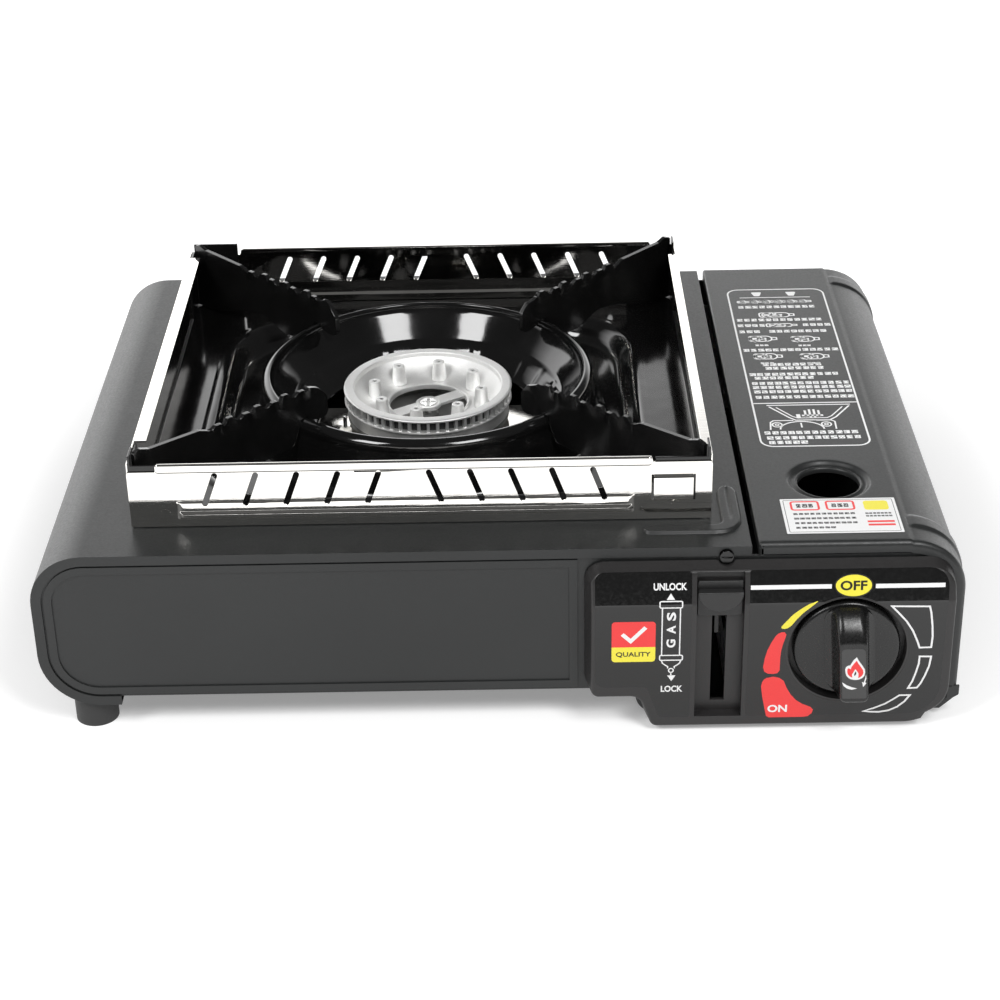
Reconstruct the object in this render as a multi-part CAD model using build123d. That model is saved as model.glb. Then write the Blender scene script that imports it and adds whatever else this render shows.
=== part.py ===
"""Butane cassette stove: one separate solid, or group of like solids, for each piece.

Millimetres, +Z up, X along the stove with the canister bay on the right, the knob
facing -Y. Everything is drawn with Y = 0 at the middle of the sheet body and is moved
by SHIFT_Y when it is written, so that the origin is the middle of the whole footprint.
"""
import math
import os

from build123d import *

# Sheet body
BODY_LENGTH = 340.0
BODY_DEPTH = 251.0
BODY_TOP = 74.4
BODY_BOTTOM = 10.8
SHEET = 0.8
TOP_CORNER = 20.0
BOTTOM_CORNER = 22.0
RIM = 3.8                 # flange folded in round the front and rear openings of the wrap
WRAP_END = -141.0         # where the wrap's bottom lip stops
PANEL_BOTTOM = 14.3
PANEL_END = 168.9         # right end of the front and rear panels
PANEL_FOOT_END = 163.4
RIB_WIDTH = 2.6
RIB_HEIGHT = 0.3
PANEL_TOP_RIGHT = 70.3    # the front panel is lower behind the canister lid
TRAY_LEFT = 50.0
TRAY_BOTTOM = 3.0
GAP = 0.1                 # between nested sheets

# Canister bay and lid
TOP_END = 91.0
LID_LEFT = 93.5
LID_TOP = 75.4
LID_CORNER = 21.0
LID_FLANGE = 4.4
HINGE_X = 166.8
HINGE_Z = 13.0
HINGE_ROD = 1.5
KNUCKLE = 2.4
HINGE_BOSS = 2.2          # what is left of each end panel round the hinge rod
LID_SWING = 3.7           # clear of the lid's lower edge as it turns
LID_HOLE = (125.0, -78.5)
LID_HOLE_RADIUS = 12.0
DIVIDER_X = 89.3
CANISTER_X = 130.0
CANISTER_Z = 39.2

# Pot support, windshield and drip pan share one middle
PAN_X = -28.0
PAN_Y = -3.7
SHIELD_HALF_X = 106.1
SHIELD_HALF_Y = 101.0
SHIELD_FOOT = 74.8
SHIELD_TOP = 100.5
SHIELD_SHEET = 0.6
SLOT_PITCH = 14.85
SLOT_WIDTH = 2.2
SLOT_FOOT = 84.0
SLOT_HEAD = 96.0
SLOT_LEAN = 4.6
SLOTS_PER_GROUP = 5
SLOTS_MIDDLE = -5.7       # the slots are centred beside the strap loop
SLOTS_APART = 41.0
RING_RADIUS = 64.4
RING_TOP = 90.0
RING_WIRE = 1.7
PAN_SHEET = 0.8
PAN_FLOOR = 66.6
PAN_HOLE = 45.0
PAN_TAPER = 30
BOWL_FOOT = 69.5
RECESS_HALF_X = 84.0
RECESS_HALF_Y = 80.0
RECESS_CORNER = 34.0
TRIVET_SHEET = 1.2
TRIVET_TOP = 102.5
TRIVET_NOSE = 52.5

# Burner
HEAD_RADIUS = 33.9
HEAD_TOP = 82.3
PORTS = 64
POSTS = 8
BRACKET_Z = 65.0
PIPE_CROSSING = (-96.5, 50.0)    # Y and Z where the gas pipe passes the divider
LEAD_CROSSING = (-87.0, 38.0)
TUBE_Z = 54.0
TUBE_RADIUS = 8.0

# Controls
FRONT = -BODY_DEPTH / 2
PANEL_PROUD = 7.5
PANEL_GAP = 0.1           # the lid's flange passes between the control panel and the sheet
PANEL_LEFT = 31.0
PANEL_RIGHT = 164.6
PANEL_TOP = 69.2
PANEL_FOOT = 2.3
PLASTIC = 2.0
CHANNEL = (71.2, 88.4, 6.6, 66.8)
CHANNEL_DEPTH = 4.2
LEVER_SLOT = (77.2, 82.4, 11.0, 58.0)
KNOB_X = 126.2
KNOB_Z = 34.8
WELL_RADIUS = 21.6
WELL_DEPTH = 5.0
KNOB_RADIUS = 19.5
KNOB_PROUD = 18.5
KNOB_TURN = 120.0
STEM_RADIUS = 3.0
LEVER_TRAVEL = 30.0
PUSH_TRAVEL = 4.0
THUMB_TOP = 60.0

FOLLOWER_Y = -108.0
FOLLOWER_Z = 38.0
FOLLOWER_RADIUS = 1.5
PUSH_ROD_X = 84.5
PUSHER_Y = 118.5
PUSHER_FOOT = 7.6         # clear of the foot screws as it moves forward
CAM_RADIUS = 6.0
PLUNGER_TRAVEL = 3.0
PLUNGER_RADIUS = 1.5
PLUNGER_Y = -119.5

# Feet
FOOT_RADIUS = 8.0
FOOT_PLACE = (152.5, 115.5)

TOTAL_DEPTH = BODY_DEPTH + KNOB_PROUD
SHIFT_Y = (TOTAL_DEPTH - BODY_DEPTH) / 2

REAR = -FRONT
FACE = FRONT - PANEL_PROUD
WELL_FLOOR = FACE + WELL_DEPTH
SHEET_BACK = FRONT + 2 * SHEET    # back face of the front panel, nested behind the rim


# ---------------------------------------------------------------- small helpers
def block(x0, x1, y0, y1, z0, z1):
    """Box between two corners."""
    return Pos((x0 + x1) / 2, (y0 + y1) / 2, (z0 + z1) / 2) * Box(x1 - x0, y1 - y0, z1 - z0)


def rod_x(y, z, radius, x0, x1):
    return Pos((x0 + x1) / 2, y, z) * Rot(0, 90, 0) * Cylinder(radius, x1 - x0)


def rod_y(x, z, radius, y0, y1):
    return Pos(x, (y0 + y1) / 2, z) * Rot(90, 0, 0) * Cylinder(radius, y1 - y0)


def rod_z(x, y, radius, z0, z1):
    return Pos(x, y, (z0 + z1) / 2) * Cylinder(radius, z1 - z0)


def rounded(*corners):
    """Face through (u, v, radius) corners, each rounded by its own radius."""
    face = make_face(Polyline(*[(u, v) for u, v, _ in corners], close=True))
    for u, v, radius in corners:
        if radius:
            face = fillet(face.vertices().sort_by_distance((u, v))[0], radius)
    return face


def window(u0, u1, v0, v1, radius=0.0):
    """Rectangular face between two corners, with rounded corners if asked."""
    shape = RectangleRounded(u1 - u0, v1 - v0, radius) if radius else Rectangle(u1 - u0, v1 - v0)
    return Pos((u0 + u1) / 2, (v0 + v1) / 2) * shape


def along_y(face, y0, y1):
    """Extrude a face drawn in X and Z from y0 to y1."""
    return extrude(Plane.XZ.offset(-y1) * face, y1 - y0)


def along_z(face, z0, z1):
    """Extrude a face drawn in X and Y from z0 to z1."""
    return extrude(Plane.XY.offset(z0) * face, z1 - z0)


def along_x(face, x0, x1):
    """Extrude a face drawn in Y and Z from x0 to x1."""
    return extrude(Plane.YZ.offset(x0) * face, x1 - x0)


def ring(profile, x, y):
    """Turn a profile of (radius, height) points about a vertical axis at x, y."""
    face = make_face(Polyline(*profile, close=True))
    return Pos(x, y, 0) * revolve(Plane.XZ * face, Axis.Z)


def group(pieces):
    """Separate solids of one node, kept apart."""
    return Compound([piece.solid() for piece in pieces])


def shell(profile, thickness):
    """Closed outline of a bent sheet: the points, then back again, thickness lower."""
    return list(profile) + [(r, z - thickness) for r, z in reversed(profile)]


# ---------------------------------------------------------------- sheet body
def body_outline(inset=0.0):
    """End view of the body, with square corners on the right, drawn in by inset."""
    half = BODY_LENGTH / 2 - inset
    top = BODY_TOP - inset
    bottom = BODY_BOTTOM + inset
    return rounded((-half, top, TOP_CORNER - inset), (-half, bottom, BOTTOM_CORNER - inset),
                   (half, bottom, 0), (half, top, 0))


def body_wrap():
    """Top and left side in one sheet, with rims folded in at the front and rear."""
    keep = window(-BODY_LENGTH, TOP_END, 0, 2 * BODY_TOP)
    cut_low = window(WRAP_END, 2 * TOP_END, 0, BODY_TOP - RIM)
    sheet = (body_outline() - body_outline(SHEET)) & keep
    wrap = along_y(sheet - cut_low, FRONT, REAR)
    rim = ((body_outline() - body_outline(RIM)) & keep) - cut_low
    for y in (FRONT, REAR - SHEET):
        wrap += along_y(rim, y, y + SHEET)
    wrap += block(TOP_END - SHEET, TOP_END, SHEET_BACK, -SHEET_BACK, BODY_TOP - 10, BODY_TOP)
    opening = Pos(PAN_X, PAN_Y) * RectangleRounded(2 * RECESS_HALF_X + 6, 2 * RECESS_HALF_Y + 6,
                                                   RECESS_CORNER)
    wrap -= along_z(opening, BODY_TOP - 3, BODY_TOP + 3)
    screw_x, screw_z = panel_screw_places()[0]
    wrap -= rod_y(screw_x, screw_z, 2.7, FRONT - 1, FRONT + SHEET + 0.1)
    corner = Polyline((54, -112.6), (84.5, -112.6), (87.2, -109.8), (87.2, -82.0))
    for path in (corner, Line((82.4, -82), (82.4, -107.8))):
        wrap += along_z(trace(path, RIB_WIDTH), BODY_TOP - RIB_HEIGHT, BODY_TOP + RIB_HEIGHT)
    return wrap


def end_panel_face(right_top):
    """Front or rear panel seen from the front: the low part on the right ends the tray."""
    face = body_outline(SHEET + GAP) & window(-BODY_LENGTH, PANEL_END, PANEL_BOTTOM, BODY_TOP)
    face += rounded((TRAY_LEFT, PANEL_BOTTOM + 2, 0), (TRAY_LEFT, TRAY_BOTTOM, 8),
                    (PANEL_FOOT_END, TRAY_BOTTOM, 0), (PANEL_END, 8.2, 0), (PANEL_END, PANEL_BOTTOM + 2, 0))
    face -= window(TOP_END + 0.2, BODY_LENGTH, right_top, BODY_TOP)
    corner = rounded((0, 0, 0), (PANEL_END, 0, 0), (PANEL_END, right_top, LID_CORNER - 3), (0, right_top, 0))
    face = face & (corner + window(-BODY_LENGTH, TOP_END + 0.2, 0, BODY_TOP))
    swept = window(HINGE_X, PANEL_END + 1, HINGE_Z - LID_SWING, HINGE_Z + LID_SWING)
    face -= swept - Pos(HINGE_X, HINGE_Z) * Circle(HINGE_BOSS)
    return face - Pos(HINGE_X, HINGE_Z) * Circle(HINGE_ROD)


def band_face(x0, x1, inset, width):
    """Raised band round the field of a panel, drawn from x0 to x1."""
    outer = body_outline(inset) & window(x0, x1, PANEL_BOTTOM, BODY_TOP)
    inner = body_outline(inset + width) & window(x0, x1 - width, PANEL_BOTTOM + width, BODY_TOP)
    return outer - inner


def front_panel():
    """Pressed front plate with the holes for the lock lever, the valve and the screws."""
    face = end_panel_face(PANEL_TOP_RIGHT)
    for x, z in panel_screw_places():
        face -= Pos(x, z) * Circle(1.3)
    x0, x1, z0, z1 = LEVER_SLOT
    face -= window(x0 - 1, x1 + 1, z0 - 3, z1 + 1)
    face -= Pos(KNOB_X, KNOB_Z) * Circle(5.0)
    plate = along_y(face, FRONT + SHEET, SHEET_BACK)
    band = band_face(-BODY_LENGTH, 28.5, RIM + 0.8, 3.0)
    return plate + along_y(band, FRONT + 0.2, FRONT + SHEET)


def rear_panel():
    """Pressed rear plate with louvre slots behind the burner."""
    face = end_panel_face(PANEL_TOP_RIGHT)
    for index in range(9):
        face -= Pos(PAN_X + (index - 4) * 14, 44) * SlotOverall(26, 4, rotation=90)
    plate = along_y(face, -SHEET_BACK, REAR - SHEET)
    band = band_face(-BODY_LENGTH, 86.0, RIM + 0.8, 3.0)
    return plate + along_y(band, REAR - SHEET, REAR - 0.2)


def base_plate():
    """Bottom sheet under the burner chamber, with air slots."""
    face = window(-152, TRAY_LEFT + 6, SHEET_BACK, -SHEET_BACK)
    for row in (-1, 1):
        for index in range(7):
            face -= Pos(PAN_X - 4 + (index - 3) * 20, row * 52) * SlotOverall(44, 6, rotation=90)
    for side in (-1, 1):
        face -= Pos(-FOOT_PLACE[0] + 2.5, side * FOOT_PLACE[1]) * Circle(5)
    return along_z(face, PANEL_BOTTOM, PANEL_BOTTOM + SHEET)


def bay_tray():
    """Trough that forms the floor of the canister bay and of the mechanism beside it."""
    outer = rounded((TRAY_LEFT, PANEL_BOTTOM, 0), (TRAY_LEFT, TRAY_BOTTOM, 8),
                    (163.4, TRAY_BOTTOM, 1), (168.0, 7.4, 1), (168.0, PANEL_BOTTOM, 0))
    inner = rounded((TRAY_LEFT + SHEET, 2 * PANEL_BOTTOM, 0), (TRAY_LEFT + SHEET, TRAY_BOTTOM + SHEET, 7.2),
                    (163.0, TRAY_BOTTOM + SHEET, 0.5), (167.2, 7.8, 0.5), (167.2, 2 * PANEL_BOTTOM, 0))
    right = window(160, 170, 9.6, PANEL_BOTTOM)
    tray = along_y(outer - inner - right, SHEET_BACK, -SHEET_BACK)
    for y in (-FOOT_PLACE[1], FOOT_PLACE[1]):
        tray -= rod_z(FOOT_PLACE[0] - 4, y, 1.6, 0, 6)
    return tray


def bay_divider():
    """Heat shield between the burner chamber and the canister bay."""
    plate = block(DIVIDER_X, DIVIDER_X + SHEET, SHEET_BACK, 112, TRAY_BOTTOM + SHEET, BODY_TOP - SHEET)
    plate -= rod_x(PIPE_CROSSING[0], PIPE_CROSSING[1], 5.0, DIVIDER_X - 2, DIVIDER_X + 2)
    plate -= rod_x(LEAD_CROSSING[0], LEAD_CROSSING[1], 3.0, DIVIDER_X - 2, DIVIDER_X + 2)
    for index in range(5):
        plate -= block(DIVIDER_X - 1, DIVIDER_X + 2, -40 + 28 * index, -26 + 28 * index, 60, 63)
    return plate


def feet():
    """Four feet: tall ones under the wrap, low ones under the tray."""
    inside = along_y(body_outline(), FRONT, REAR)
    made = {}
    for side, label in ((-1, "front"), (1, "rear")):
        y = side * FOOT_PLACE[1]
        tall = rod_z(-FOOT_PLACE[0], y, FOOT_RADIUS, 0, 18) - inside
        tall = tall - rod_z(-FOOT_PLACE[0], y, 1.6, -1, 20) - rod_z(-FOOT_PLACE[0], y, 3.4, -1, 5)
        made[f"foot_{label}_left"] = tall
        low = rod_z(FOOT_PLACE[0] - 4, y, FOOT_RADIUS, 0, TRAY_BOTTOM)
        low -= rod_z(FOOT_PLACE[0] - 4, y, 1.6, -1, 5)
        made[f"foot_{label}_right"] = low - rod_z(FOOT_PLACE[0] - 4, y, 3.4, -1, 1.4)
    return made


def foot_screws():
    """Pan-head screws up through the feet."""
    screws = []
    for side in (-1, 1):
        y = side * FOOT_PLACE[1]
        tall = rod_z(-FOOT_PLACE[0], y, 3.0, 3.0, 5) + rod_z(-FOOT_PLACE[0], y, 1.4, 5, 10.7)
        low = rod_z(FOOT_PLACE[0] - 4, y, 3.0, 0.4, 1.4) + rod_z(FOOT_PLACE[0] - 4, y, 1.4, 1.4, 6.5)
        screws += [tall, low]
    return group(screws)


# ---------------------------------------------------------------- canister lid
def lid_outline(inset=0.0):
    """End view of the lid's top and right side, drawn in by inset."""
    half = BODY_LENGTH / 2 - inset
    top = LID_TOP - inset
    return rounded((LID_LEFT, top, 0), (half, top, LID_CORNER - inset), (half, HINGE_Z, 0),
                   (LID_LEFT, HINGE_Z, 0))


def canister_lid():
    """Hinged lid: top and right side, end flanges, hinge knuckle and hand hole."""
    inner = lid_outline(SHEET) + window(LID_LEFT, BODY_LENGTH / 2 - SHEET, 0, 30)
    lid = along_y(lid_outline() - inner, FRONT + 0.0, REAR)
    lid += block(LID_LEFT, LID_LEFT + SHEET, FRONT, REAR, LID_TOP - 5, LID_TOP)
    flange_inner = lid_outline(LID_FLANGE) + window(LID_LEFT, BODY_LENGTH / 2 - LID_FLANGE, 0, 30)
    flange = rounded((LID_LEFT, LID_TOP, 0), (BODY_LENGTH / 2, LID_TOP, LID_CORNER),
                     (BODY_LENGTH / 2, 9.4, 0), (165.6, 6.6, 0), (LID_LEFT, 6.6, 0))
    flange -= flange_inner + window(LID_LEFT, 165.6, 0, LID_TOP - LID_FLANGE)
    for y in (FRONT, REAR - 0.7):
        lid += along_y(flange, y, y + 0.7)
    knuckle = Pos(HINGE_X, HINGE_Z) * (Circle(KNUCKLE) - Circle(HINGE_ROD + 0.05))
    cut = window(HINGE_X + 1.9, BODY_LENGTH, 0, HINGE_Z)
    web = window(HINGE_X + HINGE_ROD + 0.2, BODY_LENGTH / 2, HINGE_Z, HINGE_Z + 0.8)
    for y0, y1 in ((-118, -70), (70, 118)):
        lid += along_y(knuckle - cut + web, y0, y1)
    x, y = LID_HOLE
    dish = shell([(LID_HOLE_RADIUS, LID_TOP - 2.4), (LID_HOLE_RADIUS + 1.6, LID_TOP - 2.0),
                  (LID_HOLE_RADIUS + 3.4, LID_TOP - 0.1), (LID_HOLE_RADIUS + 4.2, LID_TOP)], SHEET)
    lid -= rod_z(x, y, LID_HOLE_RADIUS + 4.0, LID_TOP - 5, LID_TOP + 5)
    return lid + ring(dish, x, y)


def hinge_rod():
    """Steel rod along the bottom right edge, held by both end panels."""
    return rod_y(HINGE_X, HINGE_Z, HINGE_ROD, FRONT + SHEET, REAR - SHEET)


# ---------------------------------------------------------------- drip pan
def drip_pan():
    """Square pan with a sunk floor, open in the middle for the bowl."""
    outer = RectangleRounded(2 * SHIELD_HALF_X - 2.4, 2 * SHIELD_HALF_Y - 2.4, 6)
    recess = RectangleRounded(2 * RECESS_HALF_X, 2 * RECESS_HALF_Y, RECESS_CORNER)
    ledge = BODY_TOP + GAP + PAN_SHEET
    drop = ledge - PAN_FLOOR
    pan = along_z(outer, BODY_TOP + GAP, ledge)
    hollow = extrude(Plane((0, 0, ledge), z_dir=(0, 0, -1)) * recess, drop, taper=PAN_TAPER)
    under = extrude(Plane((0, 0, ledge - PAN_SHEET), z_dir=(0, 0, -1)) * offset(recess, 0.5), drop,
                    taper=PAN_TAPER)
    pan = (pan + under) - hollow
    pan -= along_z(Circle(BOWL_FOOT), PAN_FLOOR - 2 * PAN_SHEET, BODY_TOP + 2)
    return Pos(PAN_X, PAN_Y, 0) * pan


def pan_bowl():
    """Bowl round the burner: a rolled rim between an inner cone and an outer wall with a foot."""
    rim = RING_TOP - RING_WIRE
    inner = [(RING_RADIUS - RING_WIRE + 0.7, rim), (60.0, 84.0), (55.0, 77.0), (53.0, 75.6),
             (PAN_HOLE + 2, 68.6), (PAN_HOLE, 68.0)]
    outer = [(RING_RADIUS + 0.5, rim - 0.4), (66.2, 84.0), (67.2, 80.0), (BOWL_FOOT, PAN_FLOOR)]
    wall = outer + [(r + PAN_SHEET, z) for r, z in reversed(outer)]
    foot = [(BOWL_FOOT, PAN_FLOOR), (BOWL_FOOT + 3.5, PAN_FLOOR),
            (BOWL_FOOT + 3.5, PAN_FLOOR + PAN_SHEET), (BOWL_FOOT, PAN_FLOOR + PAN_SHEET)]
    bead = Pos(PAN_X, PAN_Y, rim) * Torus(RING_RADIUS, RING_WIRE)
    made = [ring(profile, PAN_X, PAN_Y) for profile in (shell(inner, PAN_SHEET), wall, foot)]
    return bead + made


# ---------------------------------------------------------------- windshield and pot support
def shield_long_wall(side):
    """Front (-1) or rear (1) wall: two fans of leaning slots, a folded hem and a strap loop."""
    half = SHIELD_HALF_X
    outer = -SHIELD_HALF_Y
    wall = window(-half, half, SHIELD_FOOT, SHIELD_TOP)
    rise = SLOT_HEAD - SLOT_FOOT
    lean_angle = math.degrees(math.atan2(SLOT_LEAN, rise))
    for lean in (-1, 1):
        for index in range(SLOTS_PER_GROUP):
            middle = SLOTS_MIDDLE + lean * SLOTS_APART + (index - (SLOTS_PER_GROUP - 1) / 2) * SLOT_PITCH
            slot = SlotCenterToCenter(rise, SLOT_WIDTH, rotation=90 + lean * lean_angle)
            wall -= Pos(middle, (SLOT_HEAD + SLOT_FOOT) / 2) * slot
    made = along_y(wall, outer, outer + SHIELD_SHEET)
    made += block(SLOTS_MIDDLE - 89.5, SLOTS_MIDDLE + 89.5, outer - 0.9, outer, SHIELD_TOP - 3.4, SHIELD_TOP + 0.2)
    made += block(84.4, 99.8, outer - 0.8, outer, 82.8, 93.0)
    turn = 0 if side < 0 else 180
    return Pos(PAN_X, PAN_Y, 0) * Rot(0, 0, turn) * made


def shield_short_wall(side):
    """Left (-1) or right (1) wall, folded inward along its top edge."""
    outer = SHIELD_HALF_X
    reach = SHIELD_HALF_Y - SHIELD_SHEET - 0.1
    lip = 5.0 if side < 0 else 3.6
    fold_start, fold_end = (-82.0, 92.0) if side < 0 else (-92.0, 87.0)
    made = block(outer - SHIELD_SHEET, outer, -reach, reach, SHIELD_FOOT, SHIELD_TOP)
    made += block(outer - lip, outer, fold_start, fold_end, SHIELD_TOP - SHIELD_SHEET, SHIELD_TOP)
    if side < 0:
        made = mirror(made, Plane.YZ)
    return Pos(PAN_X, PAN_Y, 0) * made


def corner_bracket(side_x, side_y, tab_on_long_wall):
    """Black angle plate inside one corner, with a tab that stands above the wall."""
    leg_x = 20.0
    leg_y = 18.0
    plate = 0.9
    x = SHIELD_HALF_X - SHIELD_SHEET - 0.05
    y = SHIELD_HALF_Y - SHIELD_SHEET - 0.05
    angle = window(x - leg_x, x, y - plate, y) + window(x - plate, x, y - leg_y, y)
    solid = along_z(angle, SHIELD_FOOT + 0.9, SHIELD_TOP - 0.7)
    low, high = SHIELD_TOP - 0.8, TRIVET_TOP + 1
    if tab_on_long_wall:
        solid += block(x - leg_x, x - 1, y - plate, y, low, high)
    else:
        solid += block(x - plate, x, y - 8, y, low, high)
    if side_x < 0:
        solid = mirror(solid, Plane.YZ)
    if side_y < 0:
        solid = mirror(solid, Plane.XZ)
    return Pos(PAN_X, PAN_Y, 0) * solid


def trivet(angle, reach):
    """Upright diagonal plate with a wavy top edge and a nose that straddles the ring."""
    top = TRIVET_TOP
    waves = []
    for index in range(7):
        start = 108.0 - index * 6.6
        waves += [(start, top - 2.2), (start - 1.6, top - 0.6), (start - 4.6, top - 0.6), (start - 6.0, top - 2.2)]
    notch = RING_WIRE + 0.5
    ring_out = RING_RADIUS + notch
    ring_in = RING_RADIUS - notch
    seat = RING_TOP + 0.25
    outline = [(reach, SHIELD_FOOT + 1.2), (reach, top + 1.5), (reach - 3, top + 2.5), (reach - 7, top + 1.0),
               (114.0, top)] + waves
    outline += [(60.5, top - 1.0), (55.5, top - 2.5), (TRIVET_NOSE, top - 6.5), (TRIVET_NOSE, 89.0),
                (54.0, 87.4), (57.6, 87.4), (ring_in, 88.8), (ring_in, seat), (ring_out, seat),
                (ring_out, 88.0), (68.0, 85.0), (70.5, 80.0), (86.0, 79.0), (98.0, 84.0), (112.0, 82.0), (126.0, 77.6),
                (reach - 8, SHIELD_FOOT + 1.2)]
    face = make_face(Polyline(*outline, close=True))
    plate = along_y(face, -TRIVET_SHEET / 2, TRIVET_SHEET / 2)
    return Pos(PAN_X, PAN_Y, 0) * Rot(0, 0, angle) * plate


def pot_support():
    """Walls, corner brackets, trivets and rivets of the lift-off pot support."""
    made = {"windshield_front": shield_long_wall(-1), "windshield_rear": shield_long_wall(1),
            "windshield_left": shield_short_wall(-1), "windshield_right": shield_short_wall(1)}
    inner_x = SHIELD_HALF_X - SHIELD_SHEET - 1.6
    inner_y = SHIELD_HALF_Y - SHIELD_SHEET - 1.6
    reach = math.hypot(inner_x, inner_y)
    slant = math.degrees(math.atan2(inner_y, inner_x))
    rivets = []
    for side_y, end in ((-1, "front"), (1, "rear")):
        for side_x, hand in ((-1, "left"), (1, "right")):
            base = slant if side_x > 0 else 180 - slant
            made[f"trivet_{end}_{hand}"] = trivet(side_y * base, reach - 0.6)
            on_long_wall = side_x < 0 < side_y
            made[f"corner_bracket_{end}_{hand}"] = corner_bracket(side_x, side_y, on_long_wall)
            head_y = PAN_Y + side_y * SHIELD_HALF_Y
            x = PAN_X + side_x * (SHIELD_HALF_X - 13)
            low, high = sorted((head_y, head_y + side_y * 0.8))
            rivets.append(rod_y(x, 80.2, 1.8, low, high))
    made["corner_rivets"] = group(rivets)
    return made


# ---------------------------------------------------------------- burner
def burner_head():
    """Ported ring with a dished middle and a circle of drilled posts."""
    rim = HEAD_RADIUS
    top = HEAD_TOP
    wall = [(rim - 0.9, top), (rim, top - 0.8), (rim, top - 2.2), (rim - 1.2, top - 2.9), (rim - 1.2, top - 9.0),
            (rim - 0.6, top - 9.6), (rim - 0.6, top - 11.2), (rim - 3.2, top - 11.2), (rim - 3.2, top - 4.2),
            (19.0, top - 12.6), (0, top - 12.6), (0, top - 11.0), (19.4, top - 11.0), (rim - 5.2, top - 2.0),
            (rim - 5.2, top)]
    head = ring(wall, 0, 0)
    port = block(rim - 4.0, rim + 1, -0.55, 0.55, top - 8.8, top - 3.1)
    head -= [Rot(0, 0, index * 360 / PORTS) * port for index in range(PORTS)]
    floor = top - 11.0
    cut = Circle(15.5) & Pos(0, 10.7) * Rectangle(40, 11)
    for turn in (18, 198):
        head -= Rot(0, 0, turn) * along_z(cut, floor - 4, floor + 2)
    for index in range(POSTS):
        angle = math.radians(12 + index * 360 / POSTS)
        x, y = 22.6 * math.cos(angle), 22.6 * math.sin(angle)
        head += rod_z(x, y, 1.9, floor - 1.0, top - 2.4)
        head -= rod_z(x, y, 0.7, top - 6.0, top)
    head += rod_z(0, 0, 4.4, floor, floor + 1.6)
    return Pos(PAN_X, PAN_Y, 0) * (head - rod_z(0, 0, 1.65, floor - 5, floor + 5))


def burner_base():
    """Mixing bowl under the head, with a socket for the mixing tube."""
    seat = HEAD_TOP - 11.2
    profile = [(0, 44.0), (20.0, 44.0), (24.0, 47.0), (26.8, 60.0), (26.8, BRACKET_Z + 1),
               (30.0, BRACKET_Z + 1), (32.6, seat - 2.0), (32.6, seat), (29.4, seat), (25.0, 66.0),
               (25.0, 60.0), (22.4, 48.0), (19.0, 45.8), (0, 45.8)]
    bowl = ring(profile, 0, 0)
    bowl += rod_z(0, 0, 4.0, 45, HEAD_TOP - 12.6)
    bowl -= rod_z(0, 0, 1.4, HEAD_TOP - 26, HEAD_TOP)
    socket = rod_x(0, TUBE_Z, TUBE_RADIUS + 1.6, 21, 38)
    bore = rod_x(0, TUBE_Z, TUBE_RADIUS, 14, 40)
    bowl = Rot(0, 0, tube_heading()) * ((bowl + socket) - bore)
    return Pos(PAN_X, PAN_Y, 0) * bowl


def jet_place():
    return 74.0, -93.0


def tube_heading():
    """Direction in plan, in degrees, from the burner to the gas jet."""
    x, y = jet_place()
    return math.degrees(math.atan2(y - PAN_Y, x - PAN_X))


def on_tube(solid):
    """Turn a piece drawn along +X from the burner's middle onto the mixing tube's line."""
    return Pos(PAN_X, PAN_Y, 0) * Rot(0, 0, tube_heading()) * solid


def tube_length():
    x, y = jet_place()
    return math.hypot(x - PAN_X, y - PAN_Y)


def mixing_tube():
    end = tube_length() - 10
    tube = rod_x(0, TUBE_Z, TUBE_RADIUS, 26, end) - rod_x(0, TUBE_Z, TUBE_RADIUS - 0.8, 20, end + 5)
    window_cut = block(end - 16, end - 6, -20, 20, TUBE_Z - 3, TUBE_Z + 3)
    return on_tube(tube - window_cut)


def air_shutter():
    end = tube_length() - 10
    sleeve = rod_x(0, TUBE_Z, TUBE_RADIUS + 0.9, end - 18, end - 4)
    sleeve -= rod_x(0, TUBE_Z, TUBE_RADIUS + 0.05, end - 30, end + 5)
    return on_tube(sleeve - block(end - 14, end - 8, 0, 20, TUBE_Z - 2, TUBE_Z + 5))


def gas_jet():
    """Brass jet that blows into the open end of the mixing tube."""
    end = tube_length() - 10
    nose = rod_x(0, TUBE_Z, 2.0, end - 6, end + 2) + rod_x(0, TUBE_Z, 4.0, end + 2, end + 8)
    return on_tube(nose - rod_x(0, TUBE_Z, 0.5, end - 7, end + 12))


def wire_run(route, radius):
    """Round rod through the points of a route, with a ball at each bend."""
    made = None
    for start, end in zip(route, route[1:]):
        along = Vector(*end) - Vector(*start)
        run = extrude(Plane(origin=start, z_dir=along) * Circle(radius), along.length)
        made = run if made is None else made + Pos(*start) * Sphere(radius) + run
    return made


def gas_pipe():
    """Pipe from the tap to the jet, behind the lock lever and through the divider."""
    angle = math.radians(tube_heading())
    reach = tube_length() - 2
    jet = (PAN_X + reach * math.cos(angle), PAN_Y + reach * math.sin(angle), TUBE_Z)
    bend = (jet[0] + 5 * math.cos(angle), jet[1] + 5 * math.sin(angle), TUBE_Z)
    crossing = (DIVIDER_X, PIPE_CROSSING[0], PIPE_CROSSING[1])
    return wire_run([jet, bend, crossing, (103, -106, 42), (110, -110, 38), (KNOB_X - 9.5, -110, 38)], 2.0)


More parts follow.
